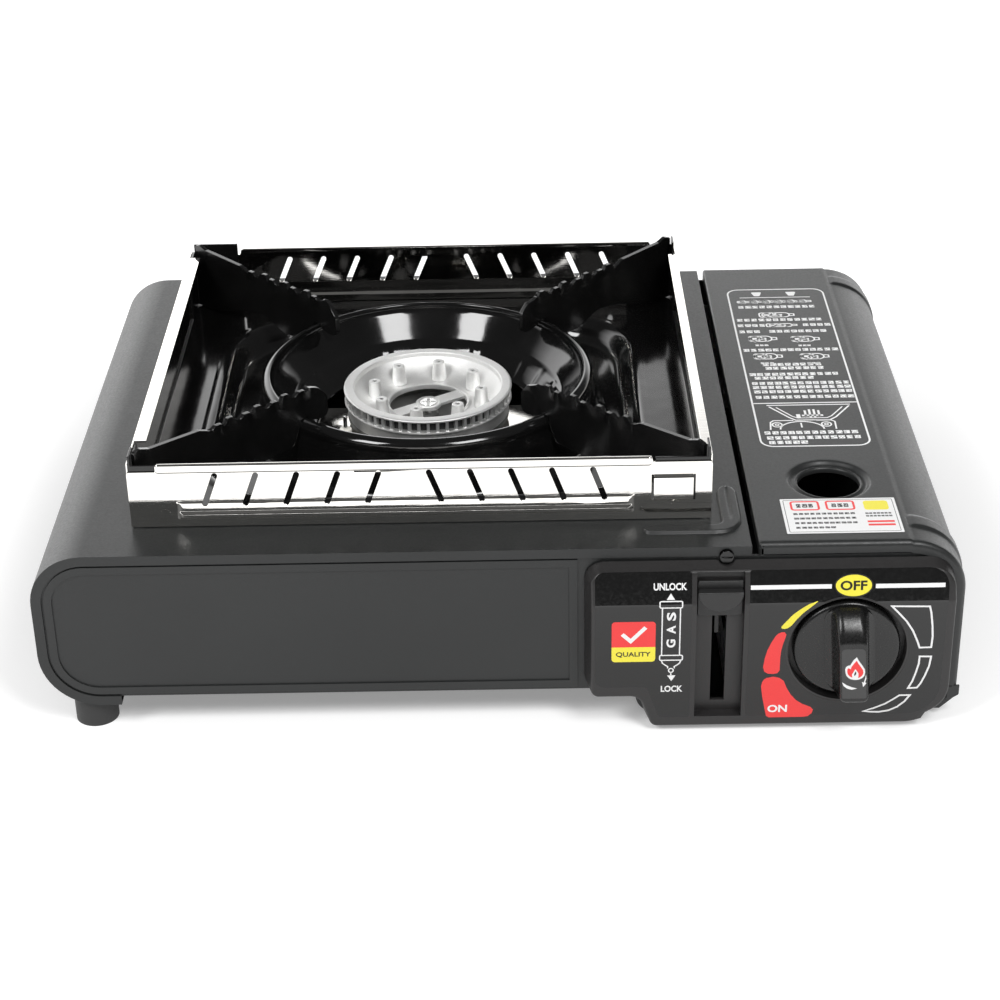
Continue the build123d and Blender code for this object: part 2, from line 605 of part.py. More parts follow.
def burner_bracket():
    """Zinc-plated strip that carries the burner base, with a leg at each end."""
    half = 64.0
    width = 12.0
    strip = block(-half, half, -width, width, BRACKET_Z, BRACKET_Z + 1)
    strip += rod_z(0, 0, 33.0, BRACKET_Z, BRACKET_Z + 1)
    strip -= rod_z(0, 0, 26.9, BRACKET_Z - 2, BRACKET_Z + 3)
    for side in (-1, 1):
        x0, x1 = sorted((side * half, side * (half - 1)))
        strip += block(x0, x1, -width, width, PANEL_BOTTOM + SHEET, BRACKET_Z + 1)
        x0, x1 = sorted((side * half, side * (half + 12)))
        strip += block(x0, x1, -width, width, PANEL_BOTTOM + SHEET, PANEL_BOTTOM + SHEET + 1)
    return Pos(PAN_X, PAN_Y, 0) * strip


def bracket_screws():
    screws = []
    for side in (-1, 1):
        for offset_y in (-7, 7):
            x = PAN_X + side * 70
            y = PAN_Y + offset_y
            foot = PANEL_BOTTOM + SHEET + 1
            screws.append(rod_z(x, y, 2.6, foot, foot + 1.8))
    return group(screws)


def burner_screw():
    floor = HEAD_TOP - 11.0 + 1.6
    head = rod_z(0, 0, 3.0, floor, floor + 1.7) + rod_z(0, 0, 1.4, floor - 12, floor)
    head -= block(-0.4, 0.4, -2.4, 2.4, floor + 0.9, floor + 3)
    head -= block(-2.4, 2.4, -0.4, 0.4, floor + 0.9, floor + 3)
    return Pos(PAN_X, PAN_Y, 0) * head


def electrode_place():
    angle = math.radians(215)
    return PAN_X + 39.4 * math.cos(angle), PAN_Y + 39.4 * math.sin(angle)


def spark_electrode():
    x, y = electrode_place()
    return rod_z(x, y, 0.8, 58, 79) + Pos(x, y, 79) * Sphere(0.8)


def electrode_insulator():
    x, y = electrode_place()
    return rod_z(x, y, 2.4, 60, 74) - rod_z(x, y, 0.8, 50, 80)


def electrode_clip():
    x, y = electrode_place()
    clip = block(x - 4, x + 4, y - 4, y + 4, BRACKET_Z + 1, BRACKET_Z + 2) - rod_z(x, y, 2.4, 60, 70)
    return clip + block(x - 4, x + 1, y + 4, PAN_Y - 9.4, BRACKET_Z + 1, BRACKET_Z + 2)


# ---------------------------------------------------------------- gas train
def valve_body():
    """Tap block behind the igniter cam, bored for the stem."""
    body = rod_y(KNOB_X, KNOB_Z, 6.0, -116, -112) + rod_y(KNOB_X, KNOB_Z, 9.4, -114, -104)
    body += block(KNOB_X - 9.5, KNOB_X + 9.5, -113, -104, KNOB_Z - 9.5, KNOB_Z + 9.5)
    return body - rod_y(KNOB_X, KNOB_Z, STEM_RADIUS + 0.05, -120, -108)


def regulator_body():
    """Pressure regulator block between the tap and the canister collar."""
    body = block(114, 146, -104, -90, 24, 52)
    return body + rod_y(CANISTER_X, CANISTER_Z, 18.0, -90, -86)


def regulator_cap():
    return rod_x(-97, 38, 6.5, 146, 153) - rod_x(-97, 38, 4.5, 151.5, 160)


def canister_collar():
    """Cup that takes the canister's rim, slotted at the top for the locating notch."""
    cup = rod_y(CANISTER_X, CANISTER_Z, 19.0, -86, -77) - rod_y(CANISTER_X, CANISTER_Z, 17.6, -85, -70)
    return cup - block(CANISTER_X - 4, CANISTER_X + 4, -85, -70, CANISTER_Z + 12, CANISTER_Z + 25)


def inlet_nozzle():
    spout = rod_y(CANISTER_X, CANISTER_Z, 4.6, -85, -81) + rod_y(CANISTER_X, CANISTER_Z, 2.2, -85, -77)
    return spout - rod_y(CANISTER_X, CANISTER_Z, 0.8, -83, -70)


# ---------------------------------------------------------------- control panel
def panel_outline(inset=0.0):
    """Front view of the control panel, stepped down at the left, drawn in by inset."""
    left = PANEL_LEFT + inset
    right = PANEL_RIGHT - inset
    top = PANEL_TOP - inset
    low = PANEL_FOOT + inset
    step = 16.2 + inset
    return rounded((left, top, 7), (left, step, 5), (49.5 + inset, step, 3), (54.0 + inset, low, 5),
                   (right, low, 16), (right, top, 10))


def panel_screw_places():
    """X and Z of the four screws; the first is in sight above the panel's top edge."""
    return [(82.0, 70.8), (60.5, 14.0), (103.0, 14.0), (150.0, 62.0)]


def control_panel():
    """Moulded housing with the lever channel, the lever slot and the knob well."""
    back = FRONT - PANEL_GAP
    depth = PANEL_PROUD - PANEL_GAP
    outer = extrude(Plane.XZ.offset(-back) * panel_outline(), depth, taper=18)
    outer = fillet(outer.faces().sort_by(Axis.Y)[0].edges(), 1.4)
    housing = outer - along_y(panel_outline(PLASTIC + 2.2), FACE + PLASTIC, back + 5)
    x0, x1, z0, z1 = CHANNEL
    floor = FACE + CHANNEL_DEPTH
    housing += block(x0 - 1.8, x1 + 1.8, FACE + 1, floor + 1.6, z0 - 1.8, z1 + 0.6)
    housing += rod_y(KNOB_X, KNOB_Z, WELL_RADIUS + 1.8, FACE + 1, WELL_FLOOR + 1.6)
    housing -= block(x0, x1, FACE - 5, floor, z0, z1)
    housing -= rod_y(KNOB_X, KNOB_Z, WELL_RADIUS, FACE - 5, WELL_FLOOR)
    housing -= rod_y(KNOB_X, KNOB_Z, 5.2, FACE - 5, back + 5)
    x0, x1, z0, z1 = LEVER_SLOT
    housing -= block(x0, x1, FACE - 5, back + 5, z0, z1)
    for x, z in panel_screw_places()[1:]:
        housing += rod_y(x, z, 3.4, FACE + 1, back) - rod_y(x, z, 1.3, FACE + 2.5, back + 2)
    x, z = panel_screw_places()[0]
    return housing - rod_y(x, z, 3.4, FACE - 5, back + 5)


def panel_screws():
    """One screw above the panel that shows, and three from behind that don't."""
    x, z = panel_screw_places()[0]
    head = rod_y(x, z, 2.5, FRONT - 1.4, FRONT + SHEET) + rod_y(x, z, 1.25, FRONT + SHEET, SHEET_BACK + 3)
    head -= block(x - 2, x + 2, FRONT - 3, FRONT - 0.8, z - 0.35, z + 0.35)
    screws = [head]
    for x, z in panel_screw_places()[1:]:
        shank = rod_y(x, z, 1.25, FRONT - 4, SHEET_BACK) + rod_y(x, z, 2.5, SHEET_BACK, SHEET_BACK + 1.6)
        screws.append(shank)
    return group(screws)


# ---------------------------------------------------------------- knob and igniter
def knob():
    """Round knob with a grip bar across it."""
    disc = rod_y(0, 0, KNOB_RADIUS, FACE + 0.4, WELL_FLOOR - 0.4)
    disc = fillet(disc.edges().group_by(Axis.Y)[0], 1.0)
    front = FRONT - KNOB_PROUD
    side = rounded((FACE + 2, -18.6, 0), (FACE - 2, -18.2, 0), (front, -15.6, 2), (front, 14.6, 4),
                   (front + 6, 18.4, 2), (FACE + 2, 18.8, 0))
    bar = along_x(side, -4.7, 4.7)
    whole = disc + bar
    whole -= rod_y(0, 0, STEM_RADIUS, FACE - 6, WELL_FLOOR + 2)
    return Pos(KNOB_X, 0, KNOB_Z) * whole


def valve_stem():
    return rod_y(KNOB_X, KNOB_Z, STEM_RADIUS, FACE - 6, -109)


def igniter_cam():
    """Spiral cam on the stem: its radius grows steadily over the knob's turn."""
    points = []
    for degrees in range(0, 360, 10):
        turned = 180 - degrees
        if 0 <= turned <= KNOB_TURN:
            radius = CAM_RADIUS + PLUNGER_TRAVEL * turned / KNOB_TURN
        else:
            radius = CAM_RADIUS
        angle = math.radians(degrees)
        points.append((radius * math.cos(angle), radius * math.sin(angle)))
    face = make_face(Polyline(*points, close=True)) - Circle(STEM_RADIUS)
    return Pos(KNOB_X, 0, KNOB_Z) * along_y(face, -122.0, -117.0)


def igniter_body():
    """Piezo unit beside the stem, bored for its plunger."""
    body = block(97, 112, -123, -114, KNOB_Z - 5, KNOB_Z + 5)
    return body - rod_x(PLUNGER_Y, KNOB_Z, PLUNGER_RADIUS + 0.06, 100, 120)


def igniter_plunger():
    tip = KNOB_X - CAM_RADIUS - 0.4
    plunger = rod_x(PLUNGER_Y, KNOB_Z, PLUNGER_RADIUS, 104, tip - PLUNGER_RADIUS)
    return plunger + Pos(tip - PLUNGER_RADIUS, PLUNGER_Y, KNOB_Z) * Sphere(PLUNGER_RADIUS)


def igniter_lead():
    """Insulated wire from the piezo unit to the spark electrode."""
    x, y = electrode_place()
    crossing = (DIVIDER_X, LEAD_CROSSING[0], LEAD_CROSSING[1])
    return wire_run([(100, -114, 36), (100, -96, 36), crossing, (60, -82, 30), (-20, -60, 26),
                     (x, y, 30), (x, y, 58)], 1.1)


# ---------------------------------------------------------------- lock mechanism
def lever_thumb():
    """Slider in the channel with a half-round thumb piece."""
    x = (LEVER_SLOT[0] + LEVER_SLOT[1]) / 2
    floor = FACE + CHANNEL_DEPTH
    plate = block(CHANNEL[0] + 0.3, CHANNEL[1] - 0.3, floor - 1.5, floor - 0.3, THUMB_TOP - 11.6, THUMB_TOP + 3)
    half = Pos(x, THUMB_TOP) * Circle(8.2) & window(x - 10, x + 10, THUMB_TOP - 10, THUMB_TOP)
    return plate + along_y(half, FACE - 0.6, floor - 1.5)


def lever_plate():
    """Steel blade through the slot, with a slanted slot that draws the push rod forward."""
    x = (LEVER_SLOT[0] + LEVER_SLOT[1]) / 2 - 0.8
    floor = FACE + CHANNEL_DEPTH
    blade = window(floor - 0.3, -110, 50, 57) + window(-119.5, -103, 34.5, 71)
    low = (FOLLOWER_Y, FOLLOWER_Z)
    high = (FOLLOWER_Y - PUSH_TRAVEL, FOLLOWER_Z + LEVER_TRAVEL)
    length = math.dist(low, high)
    angle = math.degrees(math.atan2(high[1] - low[1], high[0] - low[0]))
    slot = SlotCenterToCenter(length, 2 * FOLLOWER_RADIUS + 0.6, rotation=angle)
    blade -= Pos((low[0] + high[0]) / 2, (low[1] + high[1]) / 2) * slot
    return along_x(blade, x, x + 1.6)


def follower_pin():
    return rod_x(FOLLOWER_Y, FOLLOWER_Z, FOLLOWER_RADIUS, 77.4, PUSH_ROD_X + 2.0)


def push_rod():
    """Flat bar along the divider, upright at the front where the pin sits."""
    bar = block(PUSH_ROD_X, PUSH_ROD_X + 2, -112, PUSHER_Y, 5, 13)
    bar += block(PUSH_ROD_X, PUSH_ROD_X + 2, -112, -104, 5, FOLLOWER_Z + 4)
    return bar - rod_x(FOLLOWER_Y, FOLLOWER_Z, FOLLOWER_RADIUS, 70, 100)


def rear_pusher():
    """Plate behind the canister that presses it into the collar."""
    return block(PUSH_ROD_X, 158, PUSHER_Y, PUSHER_Y + 1.6, PUSHER_FOOT, 60)


def pusher_pad():
    return rod_y(CANISTER_X, CANISTER_Z, 10.0, PUSHER_Y - 1.5, PUSHER_Y)


def build():
    """Every node's solid by name, in the drawing frame."""
    parts = {"body_wrap": body_wrap(), "front_panel": front_panel(), "rear_panel": rear_panel(),
             "base_plate": base_plate(), "bay_tray": bay_tray(), "bay_divider": bay_divider(),
             "foot_screws": foot_screws(), "canister_lid": canister_lid(), "hinge_rod": hinge_rod(),
             "drip_pan": drip_pan(), "pan_bowl": pan_bowl(),
             "burner_head": burner_head(), "burner_base": burner_base(), "mixing_tube": mixing_tube(),
             "air_shutter": air_shutter(), "gas_jet": gas_jet(), "gas_pipe": gas_pipe(),
             "burner_bracket": burner_bracket(), "bracket_screws": bracket_screws(),
             "burner_screw": burner_screw(), "spark_electrode": spark_electrode(),
             "electrode_insulator": electrode_insulator(), "electrode_clip": electrode_clip(),
             "valve_body": valve_body(), "regulator_body": regulator_body(),
             "regulator_cap": regulator_cap(), "canister_collar": canister_collar(),
             "inlet_nozzle": inlet_nozzle(), "control_panel": control_panel(),
             "panel_screws": panel_screws(), "knob": knob(),
             "valve_stem": valve_stem(), "igniter_cam": igniter_cam(),
             "igniter_body": igniter_body(), "igniter_plunger": igniter_plunger(),
             "igniter_lead": igniter_lead(), "lever_thumb": lever_thumb(),
             "lever_plate": lever_plate(), "follower_pin": follower_pin(),
             "push_rod": push_rod(), "rear_pusher": rear_pusher(), "pusher_pad": pusher_pad()}
    parts.update(feet())
    parts.update(pot_support())
    return parts


def main():
    os.makedirs("parts", exist_ok=True)
    for name, solid in build().items():
        export_step(Pos(0, SHIFT_Y, 0) * solid, f"parts/{name}.step")


if __name__ == "__main__":
    main()
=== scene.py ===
"""Looks of a butane cassette stove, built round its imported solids.

Shapes are drawn in millimetres in the solids' own drawing frame, with Y = 0 at the middle of
the sheet body. settle() moves each finished mesh to metres in the shared frame.
"""

import logging
import math
import random
from dataclasses import dataclass, field
from enum import Enum
from typing import Any, Callable, Iterable, Optional, Sequence, Union

import bmesh
import bpy
from mathutils import Matrix, Vector

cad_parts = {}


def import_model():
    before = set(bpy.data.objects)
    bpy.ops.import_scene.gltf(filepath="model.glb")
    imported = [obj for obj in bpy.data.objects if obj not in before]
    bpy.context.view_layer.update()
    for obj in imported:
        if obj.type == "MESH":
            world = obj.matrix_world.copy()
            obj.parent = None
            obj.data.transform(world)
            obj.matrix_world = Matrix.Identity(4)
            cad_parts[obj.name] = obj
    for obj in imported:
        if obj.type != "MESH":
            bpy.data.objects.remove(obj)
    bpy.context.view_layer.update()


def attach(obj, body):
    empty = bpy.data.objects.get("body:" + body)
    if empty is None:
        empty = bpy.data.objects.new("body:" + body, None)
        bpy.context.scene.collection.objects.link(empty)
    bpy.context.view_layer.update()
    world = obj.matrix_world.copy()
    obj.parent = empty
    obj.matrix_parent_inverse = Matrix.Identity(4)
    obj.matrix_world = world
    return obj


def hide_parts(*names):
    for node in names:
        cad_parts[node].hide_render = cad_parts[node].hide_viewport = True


LOG = logging.getLogger("stove")
MM = 0.001  # a millimetre in metres
SHIFT_Y = 9.25  # what the shared frame adds to the drawing's Y, in millimetres
UP = Vector((0.0, 0.0, 1.0))
Point = tuple[float, float]
Colour = tuple[float, float, float]
Path = Sequence[Point]
Mesh = bmesh.types.BMesh
Vert = bmesh.types.BMVert
Socket = bpy.types.NodeSocket


# ------------------------------------------------------------------ shader maths
class Value:
    """A number socket that takes part in Python expressions by adding Math nodes."""

    def __init__(self, tree: "Tree", socket: Socket) -> None:
        """Wrap a socket.

        Args:
            tree: The material under construction.
            socket: The output that carries the number.
        """
        self.tree = tree
        self.socket = socket

    def _join(self, operation: str, *values: Union["Value", float]) -> "Value":
        """Add one Math node.

        Args:
            operation: Blender's name of the operation.
            values: Its operands, in order.

        Returns:
            The result, wrapped.
        """
        node = self.tree.node("ShaderNodeMath", {"operation": operation},
                              **{str(i): v for i, v in enumerate(values)})
        return Value(self.tree, node.outputs[0])

    def __add__(self, other: Union["Value", float]) -> "Value":
        """Sum."""
        return self._join("ADD", self, other)

    def __mul__(self, other: Union["Value", float]) -> "Value":
        """Product."""
        return self._join("MULTIPLY", self, other)

    def mixed(self, share: float, other: "Value") -> "Value":
        """A share of this value, and the rest of another."""
        return self * share + other * (1.0 - share)


class Tree:
    """The node tree of a material or of the world, with a single method that adds nodes."""

    def __init__(self, owner: Union[bpy.types.Material, bpy.types.World]) -> None:
        """Start with the shader and the output that are there at first.

        Args:
            owner: The material or the world.
        """
        owner.use_nodes = True
        self.owner = owner
        self.nodes = owner.node_tree.nodes
        self.links = owner.node_tree.links
        self.shader = self.nodes.get("Principled BSDF") or self.nodes["Background"]

    def node(self, kind: str, settings: Optional[dict[str, Any]] = None,
             **inputs: Any) -> bpy.types.Node:
        """Add a node.

        Args:
            kind: The node's type.
            settings: Properties to set first. A ramp's "stops" are (position, colour) pairs.
            inputs: A value or a link for each socket, by its name or its number.

        Returns:
            The new node.
        """
        made = self.nodes.new(kind)
        for key, value in (settings or {}).items():
            if key == "stops":
                ramp = made.color_ramp
                while len(ramp.elements) < len(value):
                    ramp.elements.new(0.5)
                for element, (position, colour) in zip(ramp.elements, value):
                    element.position = position
                    element.color = (*colour, 1.0)
            else:
                setattr(made, key, value)
        self.feed(made, **inputs)
        return made

    def feed(self, node: bpy.types.Node, **inputs: Any) -> None:
        """Set or link sockets of a node.

        Args:
            node: The node.
            inputs: A value or a link for each socket, by its name or its number.
        """
        for key, value in inputs.items():
            place = int(key) if key.isdigit() else key.replace("_", " ")
            socket = node.inputs[place]
            if isinstance(value, Value):
                value = value.socket
            if isinstance(value, Socket):
                self.links.new(value, socket)
            elif isinstance(value, tuple) and socket.type == "RGBA":
                socket.default_value = (*value, 1.0)
            else:
                socket.default_value = value

    def place(self, scale: Sequence[float] = (1.0, 1.0, 1.0)) -> Socket:
        """Object coordinates, stretched.

        Args:
            scale: Factor along each axis.

        Returns:
            A vector socket.
        """
        coordinates = self.node("ShaderNodeTexCoord").outputs["Object"]
        if tuple(scale) == (1.0, 1.0, 1.0):
            return coordinates
        mapping = self.node("ShaderNodeMapping", Vector=coordinates, Scale=Vector(scale))
        return mapping.outputs[0]

    def noise(self, size: float, detail: float = 3.0, roughness: float = 0.55,
              stretch: Sequence[float] = (1.0, 1.0, 1.0)) -> Value:
        """Noise whose features are about size millimetres across.

        Args:
            size: Feature size in millimetres.
            detail: Octaves of finer noise.
            roughness: Strength of the finer noise.
            stretch: Factor on the coordinates along each axis.

        Returns:
            The noise, from 0 to 1.
        """
        made = self.node("ShaderNodeTexNoise", Vector=self.place(stretch),
                         Scale=1.0 / (size * MM), Detail=detail, Roughness=roughness)
        return Value(self, made.outputs["Fac"])
    def ramp(self, value: Value, *stops: tuple[float, Colour]) -> Socket:
        """A colour for each height of a value.

        Args:
            value: What picks the colour.
            stops: Positions and colours.

        Returns:
            A colour socket.
        """
        return self.node("ShaderNodeValToRGB", {"stops": stops}, Fac=value).outputs["Color"]

    def spread(self, value: Value, low: Union[Value, float], high: float, start: float = 0.3,
               end: float = 0.7) -> Value:
        """Stretch a value's middle range over low to high.

        Args:
            value: The value.
            low: Result at start.
            high: Result at end.
            start: Where the range begins.
            end: Where it stops.

        Returns:
            The mapped value.
        """
        made = self.node("ShaderNodeMapRange", Value=value, From_Min=start, From_Max=end,
                         To_Min=low, To_Max=high)
        return Value(self, made.outputs[0])

    def bump(self, height: Value, strength: float, depth: float) -> Socket:
        """Surface relief.

        Args:
            height: Relief from 0 to 1.
            strength: Share of the relief that shows.
            depth: Height of the relief in millimetres.

        Returns:
            A normal socket.
        """
        return self.node("ShaderNodeBump", Height=height, Strength=strength,
                         Distance=depth * MM).outputs["Normal"]


# ------------------------------------------------------------------ finishes
@dataclass(frozen=True)
class Finish:
    """What all finishes share. The sizes of their noise are in millimetres."""

    name: str
    colour: Colour
    roughness: float

    def tree(self) -> Tree:
        """Start the finish's material."""
        return Tree(bpy.data.materials.new(self.name))

    def shade(self, tree: Tree, tone: Value, dark: float, light: float, start: float = 0.3,
              end: float = 0.7) -> Socket:
        """Vary the colour.

        Args:
            tree: The material under construction.
            tone: What picks the colour.
            dark: Factor on the colour where the tone is low.
            light: Factor on the colour where the tone is high.
            start: Tone up to which it is darkest.
            end: Tone from which it is lightest.

        Returns:
            A colour socket.
        """
        return tree.ramp(tone, *((place, tuple(c * factor for c in self.colour))
                                 for place, factor in ((start, dark), (end, light))))

    def uneven(self, tree: Tree, wear: Value, below: float, above: float) -> Value:
        """The roughness, going a little below and above its middle."""
        return tree.spread(wear, self.roughness - below, self.roughness + above)


@dataclass(frozen=True)
class PowderCoat(Finish):
    """Fine-textured matt paint on sheet steel."""

    roughness: float = 0.46
    grain: float = 0.55
    orange_peel: float = 2.6
    speck: float = 0.9
    cloud: float = 60.0
    depth: float = 0.12

    def material(self) -> bpy.types.Material:
        """Build the material.

        Returns:
            The material.
        """
        tree = self.tree()
        speck = tree.noise(self.speck, 2.0)
        tone = tree.noise(self.cloud, 2.0).mixed(0.6, speck)
        relief = tree.noise(self.grain, 2.0).mixed(0.7, tree.noise(self.orange_peel, 1.0))
        tree.feed(tree.shader, Base_Color=self.shade(tree, tone, 0.86, 1.16),
                  Roughness=self.uneven(tree, speck, 0.05, 0.07),
                  Normal=tree.bump(relief, 0.28, self.depth))
        return tree.owner


@dataclass(frozen=True)
class Enamel(Finish):
    """Glossy vitreous enamel, with the slow waves of a dipped coat."""

    roughness: float = 0.06
    wave: float = 0.25
    dust: float = 1.6
    smear: float = 22.0
    swell: float = 14.0
    ripple: float = 2.2
    depth: float = 0.25
    specular: float = 0.6

    def material(self) -> bpy.types.Material:
        """Build the material.

        Returns:
            The material.
        """
        tree = self.tree()
        smear = tree.noise(self.smear)
        wear = smear.mixed(0.7, tree.noise(self.dust))
        waves = tree.noise(self.swell, 1.0) * 0.8 + tree.noise(self.ripple, 1.0) * 0.05
        tree.feed(tree.shader, Base_Color=self.shade(tree, smear, 0.8, 1.35, end=0.75),
                  Roughness=self.uneven(tree, wear, 0.0, 0.07),
                  Normal=tree.bump(waves, self.wave, self.depth),
                  Specular_IOR_Level=self.specular)
        return tree.owner


@dataclass(frozen=True)
class BareMetal(Finish):
    """Uncoated metal: polished, brushed, plated or cast by its numbers."""

    grain: float = 0.4
    relief: float = 0.1
    stretch: tuple[float, float, float] = (1.0, 1.0, 1.0)
    wave: float = 0.0
    cloud: float = 18.0
    swell: float = 26.0
    depth: float = 0.3

    def material(self) -> bpy.types.Material:
        """Build the material.

        Returns:
            The material.
        """
        tree = self.tree()
        fine = tree.noise(self.grain, 2.0, stretch=self.stretch)
        tone = tree.noise(self.cloud).mixed(0.5, fine)
        relief = fine * 0.5 + tree.noise(self.swell, 1.0) * self.wave
        tree.feed(tree.shader, Base_Color=self.shade(tree, tone, 0.84, 1.0, end=0.72),
                  Metallic=1.0,
                  Roughness=tree.spread(tone, self.roughness * 0.8, self.roughness * 1.3),
                  Normal=tree.bump(relief, self.relief, self.depth))
        return tree.owner


@dataclass(frozen=True)
class Moulding(Finish):
    """Moulded plastic or rubber with a fine grain."""

    roughness: float = 0.45
    grain: float = 0.5
    relief: float = 0.25
    cloud: float = 30.0
    depth: float = 0.1

    def material(self) -> bpy.types.Material:
        """Build the material.

        Returns:
            The material.
        """
        tree = self.tree()
        fine = tree.noise(self.grain, 2.0)
        tone = fine.mixed(0.5, tree.noise(self.cloud, 2.0))
        tree.feed(tree.shader, Base_Color=self.shade(tree, tone, 0.88, 1.14),
                  Roughness=self.uneven(tree, fine, 0.06, 0.06),
                  Normal=tree.bump(fine, self.relief, self.depth))
        return tree.owner


@dataclass(frozen=True)
class Print(Finish):
    """Screen-printed ink or a printed sticker."""

    roughness: float = 0.35
    grain: float = 0.35
    wear: float = 3.0

    def material(self) -> bpy.types.Material:
        """Build the material.

        Returns:
            The material.
        """
        tree = self.tree()
        tone = tree.noise(self.grain, 2.0)
        tree.feed(tree.shader, Base_Color=self.shade(tree, tone, 0.9, 1.0, 0.25, 0.75),
                  Roughness=self.uneven(tree, tree.noise(self.wear, 2.0), 0.05, 0.08))
        return tree.owner


class Look(Enum):
    """Every finish on the stove."""

    BODY = PowderCoat("body_finish", (0.014, 0.015, 0.015), 0.42)
    LID = PowderCoat("lid_finish", (0.017, 0.018, 0.018), 0.40)
    PAN = Enamel("pan_finish", (0.004, 0.004, 0.004))
    TRIVET = Enamel("support_finish", (0.004, 0.004, 0.004), 0.20, 0.35)
    SHIELD = BareMetal("shield_finish", (0.95, 0.93, 0.89), 0.06, 0.5, 0.05,
                       (0.06, 1.0, 1.0), 0.5)
    CAST = BareMetal("cast_finish", (0.95, 0.95, 0.94), 0.55, 0.5, 0.12)
    # Partly painted shade: grey metal, made darker than the cast head to stand in for the shade
    # under the burner head.
    BASE = BareMetal("burner_base_painted_shade_finish", (0.42, 0.42, 0.41), 0.55, 0.5, 0.2)
    ZINC = BareMetal("zinc_finish", (0.95, 0.95, 0.94), 0.48, 0.8, 0.02)
    STEEL = BareMetal("screw_finish", (0.80, 0.80, 0.79), 0.20, 0.3, 0.10)
    DARK_STEEL = BareMetal("dark_steel_finish", (0.05, 0.05, 0.05), 0.20, 0.4, 0.06)
    BRASS = BareMetal("jet_finish", (0.72, 0.50, 0.20), 0.25, 0.3, 0.10)
    PANEL = Moulding("panel_finish", (0.018, 0.017, 0.017), 0.40, 0.7, 0.40)
    FILM = Moulding("panel_film_finish", (0.010, 0.010, 0.010), 0.10, 1.1, 0.03)
    KNOB = Moulding("knob_finish", (0.006, 0.006, 0.006), 0.28, 0.9, 0.006)
    # Painted shade: near-black for the shade inside the burner's ports and drilled posts.
    SOOT = Moulding("painted_shade_finish", (0.004, 0.004, 0.004), 0.7)
    LEVER = Moulding("lever_finish", (0.016, 0.016, 0.016), 0.4, 0.8, 0.12)
    RUBBER = Moulding("foot_finish", (0.028, 0.028, 0.028), 0.6, 0.9, 0.3)
    CERAMIC = Moulding("white_finish", (0.78, 0.76, 0.70), 0.25, 1.0, 0.1)
    SLEEVE = Moulding("lead_finish", (0.60, 0.58, 0.55), 0.4, 0.8, 0.1)
    WHITE = Print("white_ink", (0.86, 0.86, 0.86))
    LID_INK = Print("lid_ink", (0.95, 0.95, 0.95), 0.5)
    RED = Print("red_ink", (0.85, 0.045, 0.045))
    YELLOW = Print("yellow_ink", (0.88, 0.78, 0.06))
    BLACK = Print("black_ink", (0.010, 0.010, 0.010))
    PAPER = Print("label_paper", (0.86, 0.86, 0.86), 0.45)
    LABEL_GREY = Print("knob_label_film", (0.045, 0.045, 0.045), 0.35)

    def material(self) -> bpy.types.Material:
        """The finish's material, made once."""
        return bpy.data.materials.get(self.value.name) or self.value.material()


# ------------------------------------------------------------------ places on the solids
BODY_TOP = 74.4
FACE = -133.0  # the control panel's
LID_TOP = 75.4
PAN_MIDDLE = Vector((-28.0, -3.7, 0.0))
KNOB_MIDDLE = Vector((126.2, 0.0, 34.8))
CORNERS = [(end, hand) for end in ("front", "rear") for hand in ("left", "right")]


# ------------------------------------------------------------------ mesh helpers
def merge_flat(bm: Mesh, angle: float = 0.8) -> None:
    """Merge faces that lie in one plane, to within an angle in degrees."""
    bmesh.ops.dissolve_limit(bm, angle_limit=math.radians(angle), verts=bm.verts, edges=bm.edges)


def drawn(node: str) -> Mesh:
    """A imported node's mesh in the drawing frame, its triangles merged into whole faces.

    Args:
        node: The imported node.

    Returns:
        The mesh.
    """
    bm = bmesh.new()
    bm.from_mesh(bpy.data.objects[node].data)
    bmesh.ops.remove_doubles(bm, verts=bm.verts, dist=2e-6)
    merge_flat(bm)
    to_drawing = Matrix.Translation((0.0, -SHIFT_Y, 0.0)) @ Matrix.Scale(1.0 / MM, 4)
    bmesh.ops.transform(bm, verts=bm.verts, matrix=to_drawing)
    return bm


def added(name: str,
          data: Union[bpy.types.Mesh, bpy.types.Light, bpy.types.Camera]) -> bpy.types.Object:
    """Put new data in the scene.

    Args:
        name: The object's name.
        data: What it shows.

    Returns:
        The object.
    """
    made = bpy.data.objects.new(name, data)
    bpy.context.scene.collection.objects.link(made)
    return made


def settle(name: str, bm: Mesh, look: Look, body: str, *stands_for: str,
           crease: float = 35.0) -> None:
    """Turn a finished mesh into a piece.

    Args:
        name: The piece's name.
        bm: Its mesh, in the drawing frame.
        look: Its finish.
        body: The body that carries it.
        stands_for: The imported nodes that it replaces.
        crease: Angle in degrees over which an edge stays sharp.
    """
    to_frame = Matrix.Scale(MM, 4) @ Matrix.Translation((0.0, SHIFT_Y, 0.0))
    bmesh.ops.transform(bm, verts=bm.verts, matrix=to_frame)
    mesh = bpy.data.meshes.new(name)
    bm.to_mesh(mesh)
    bm.free()
    mesh.shade_smooth()
    mesh.set_sharp_from_angle(angle=math.radians(crease))
    mesh.materials.append(look.material())
    piece = added(name, mesh)
    weighting = piece.modifiers.new("even_shading", "WEIGHTED_NORMAL")
    weighting.keep_sharp = True
    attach(piece, body)
    if stands_for:
        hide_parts(*stands_for)
    LOG.info("%s on %s, %d faces", name, body, len(mesh.polygons))


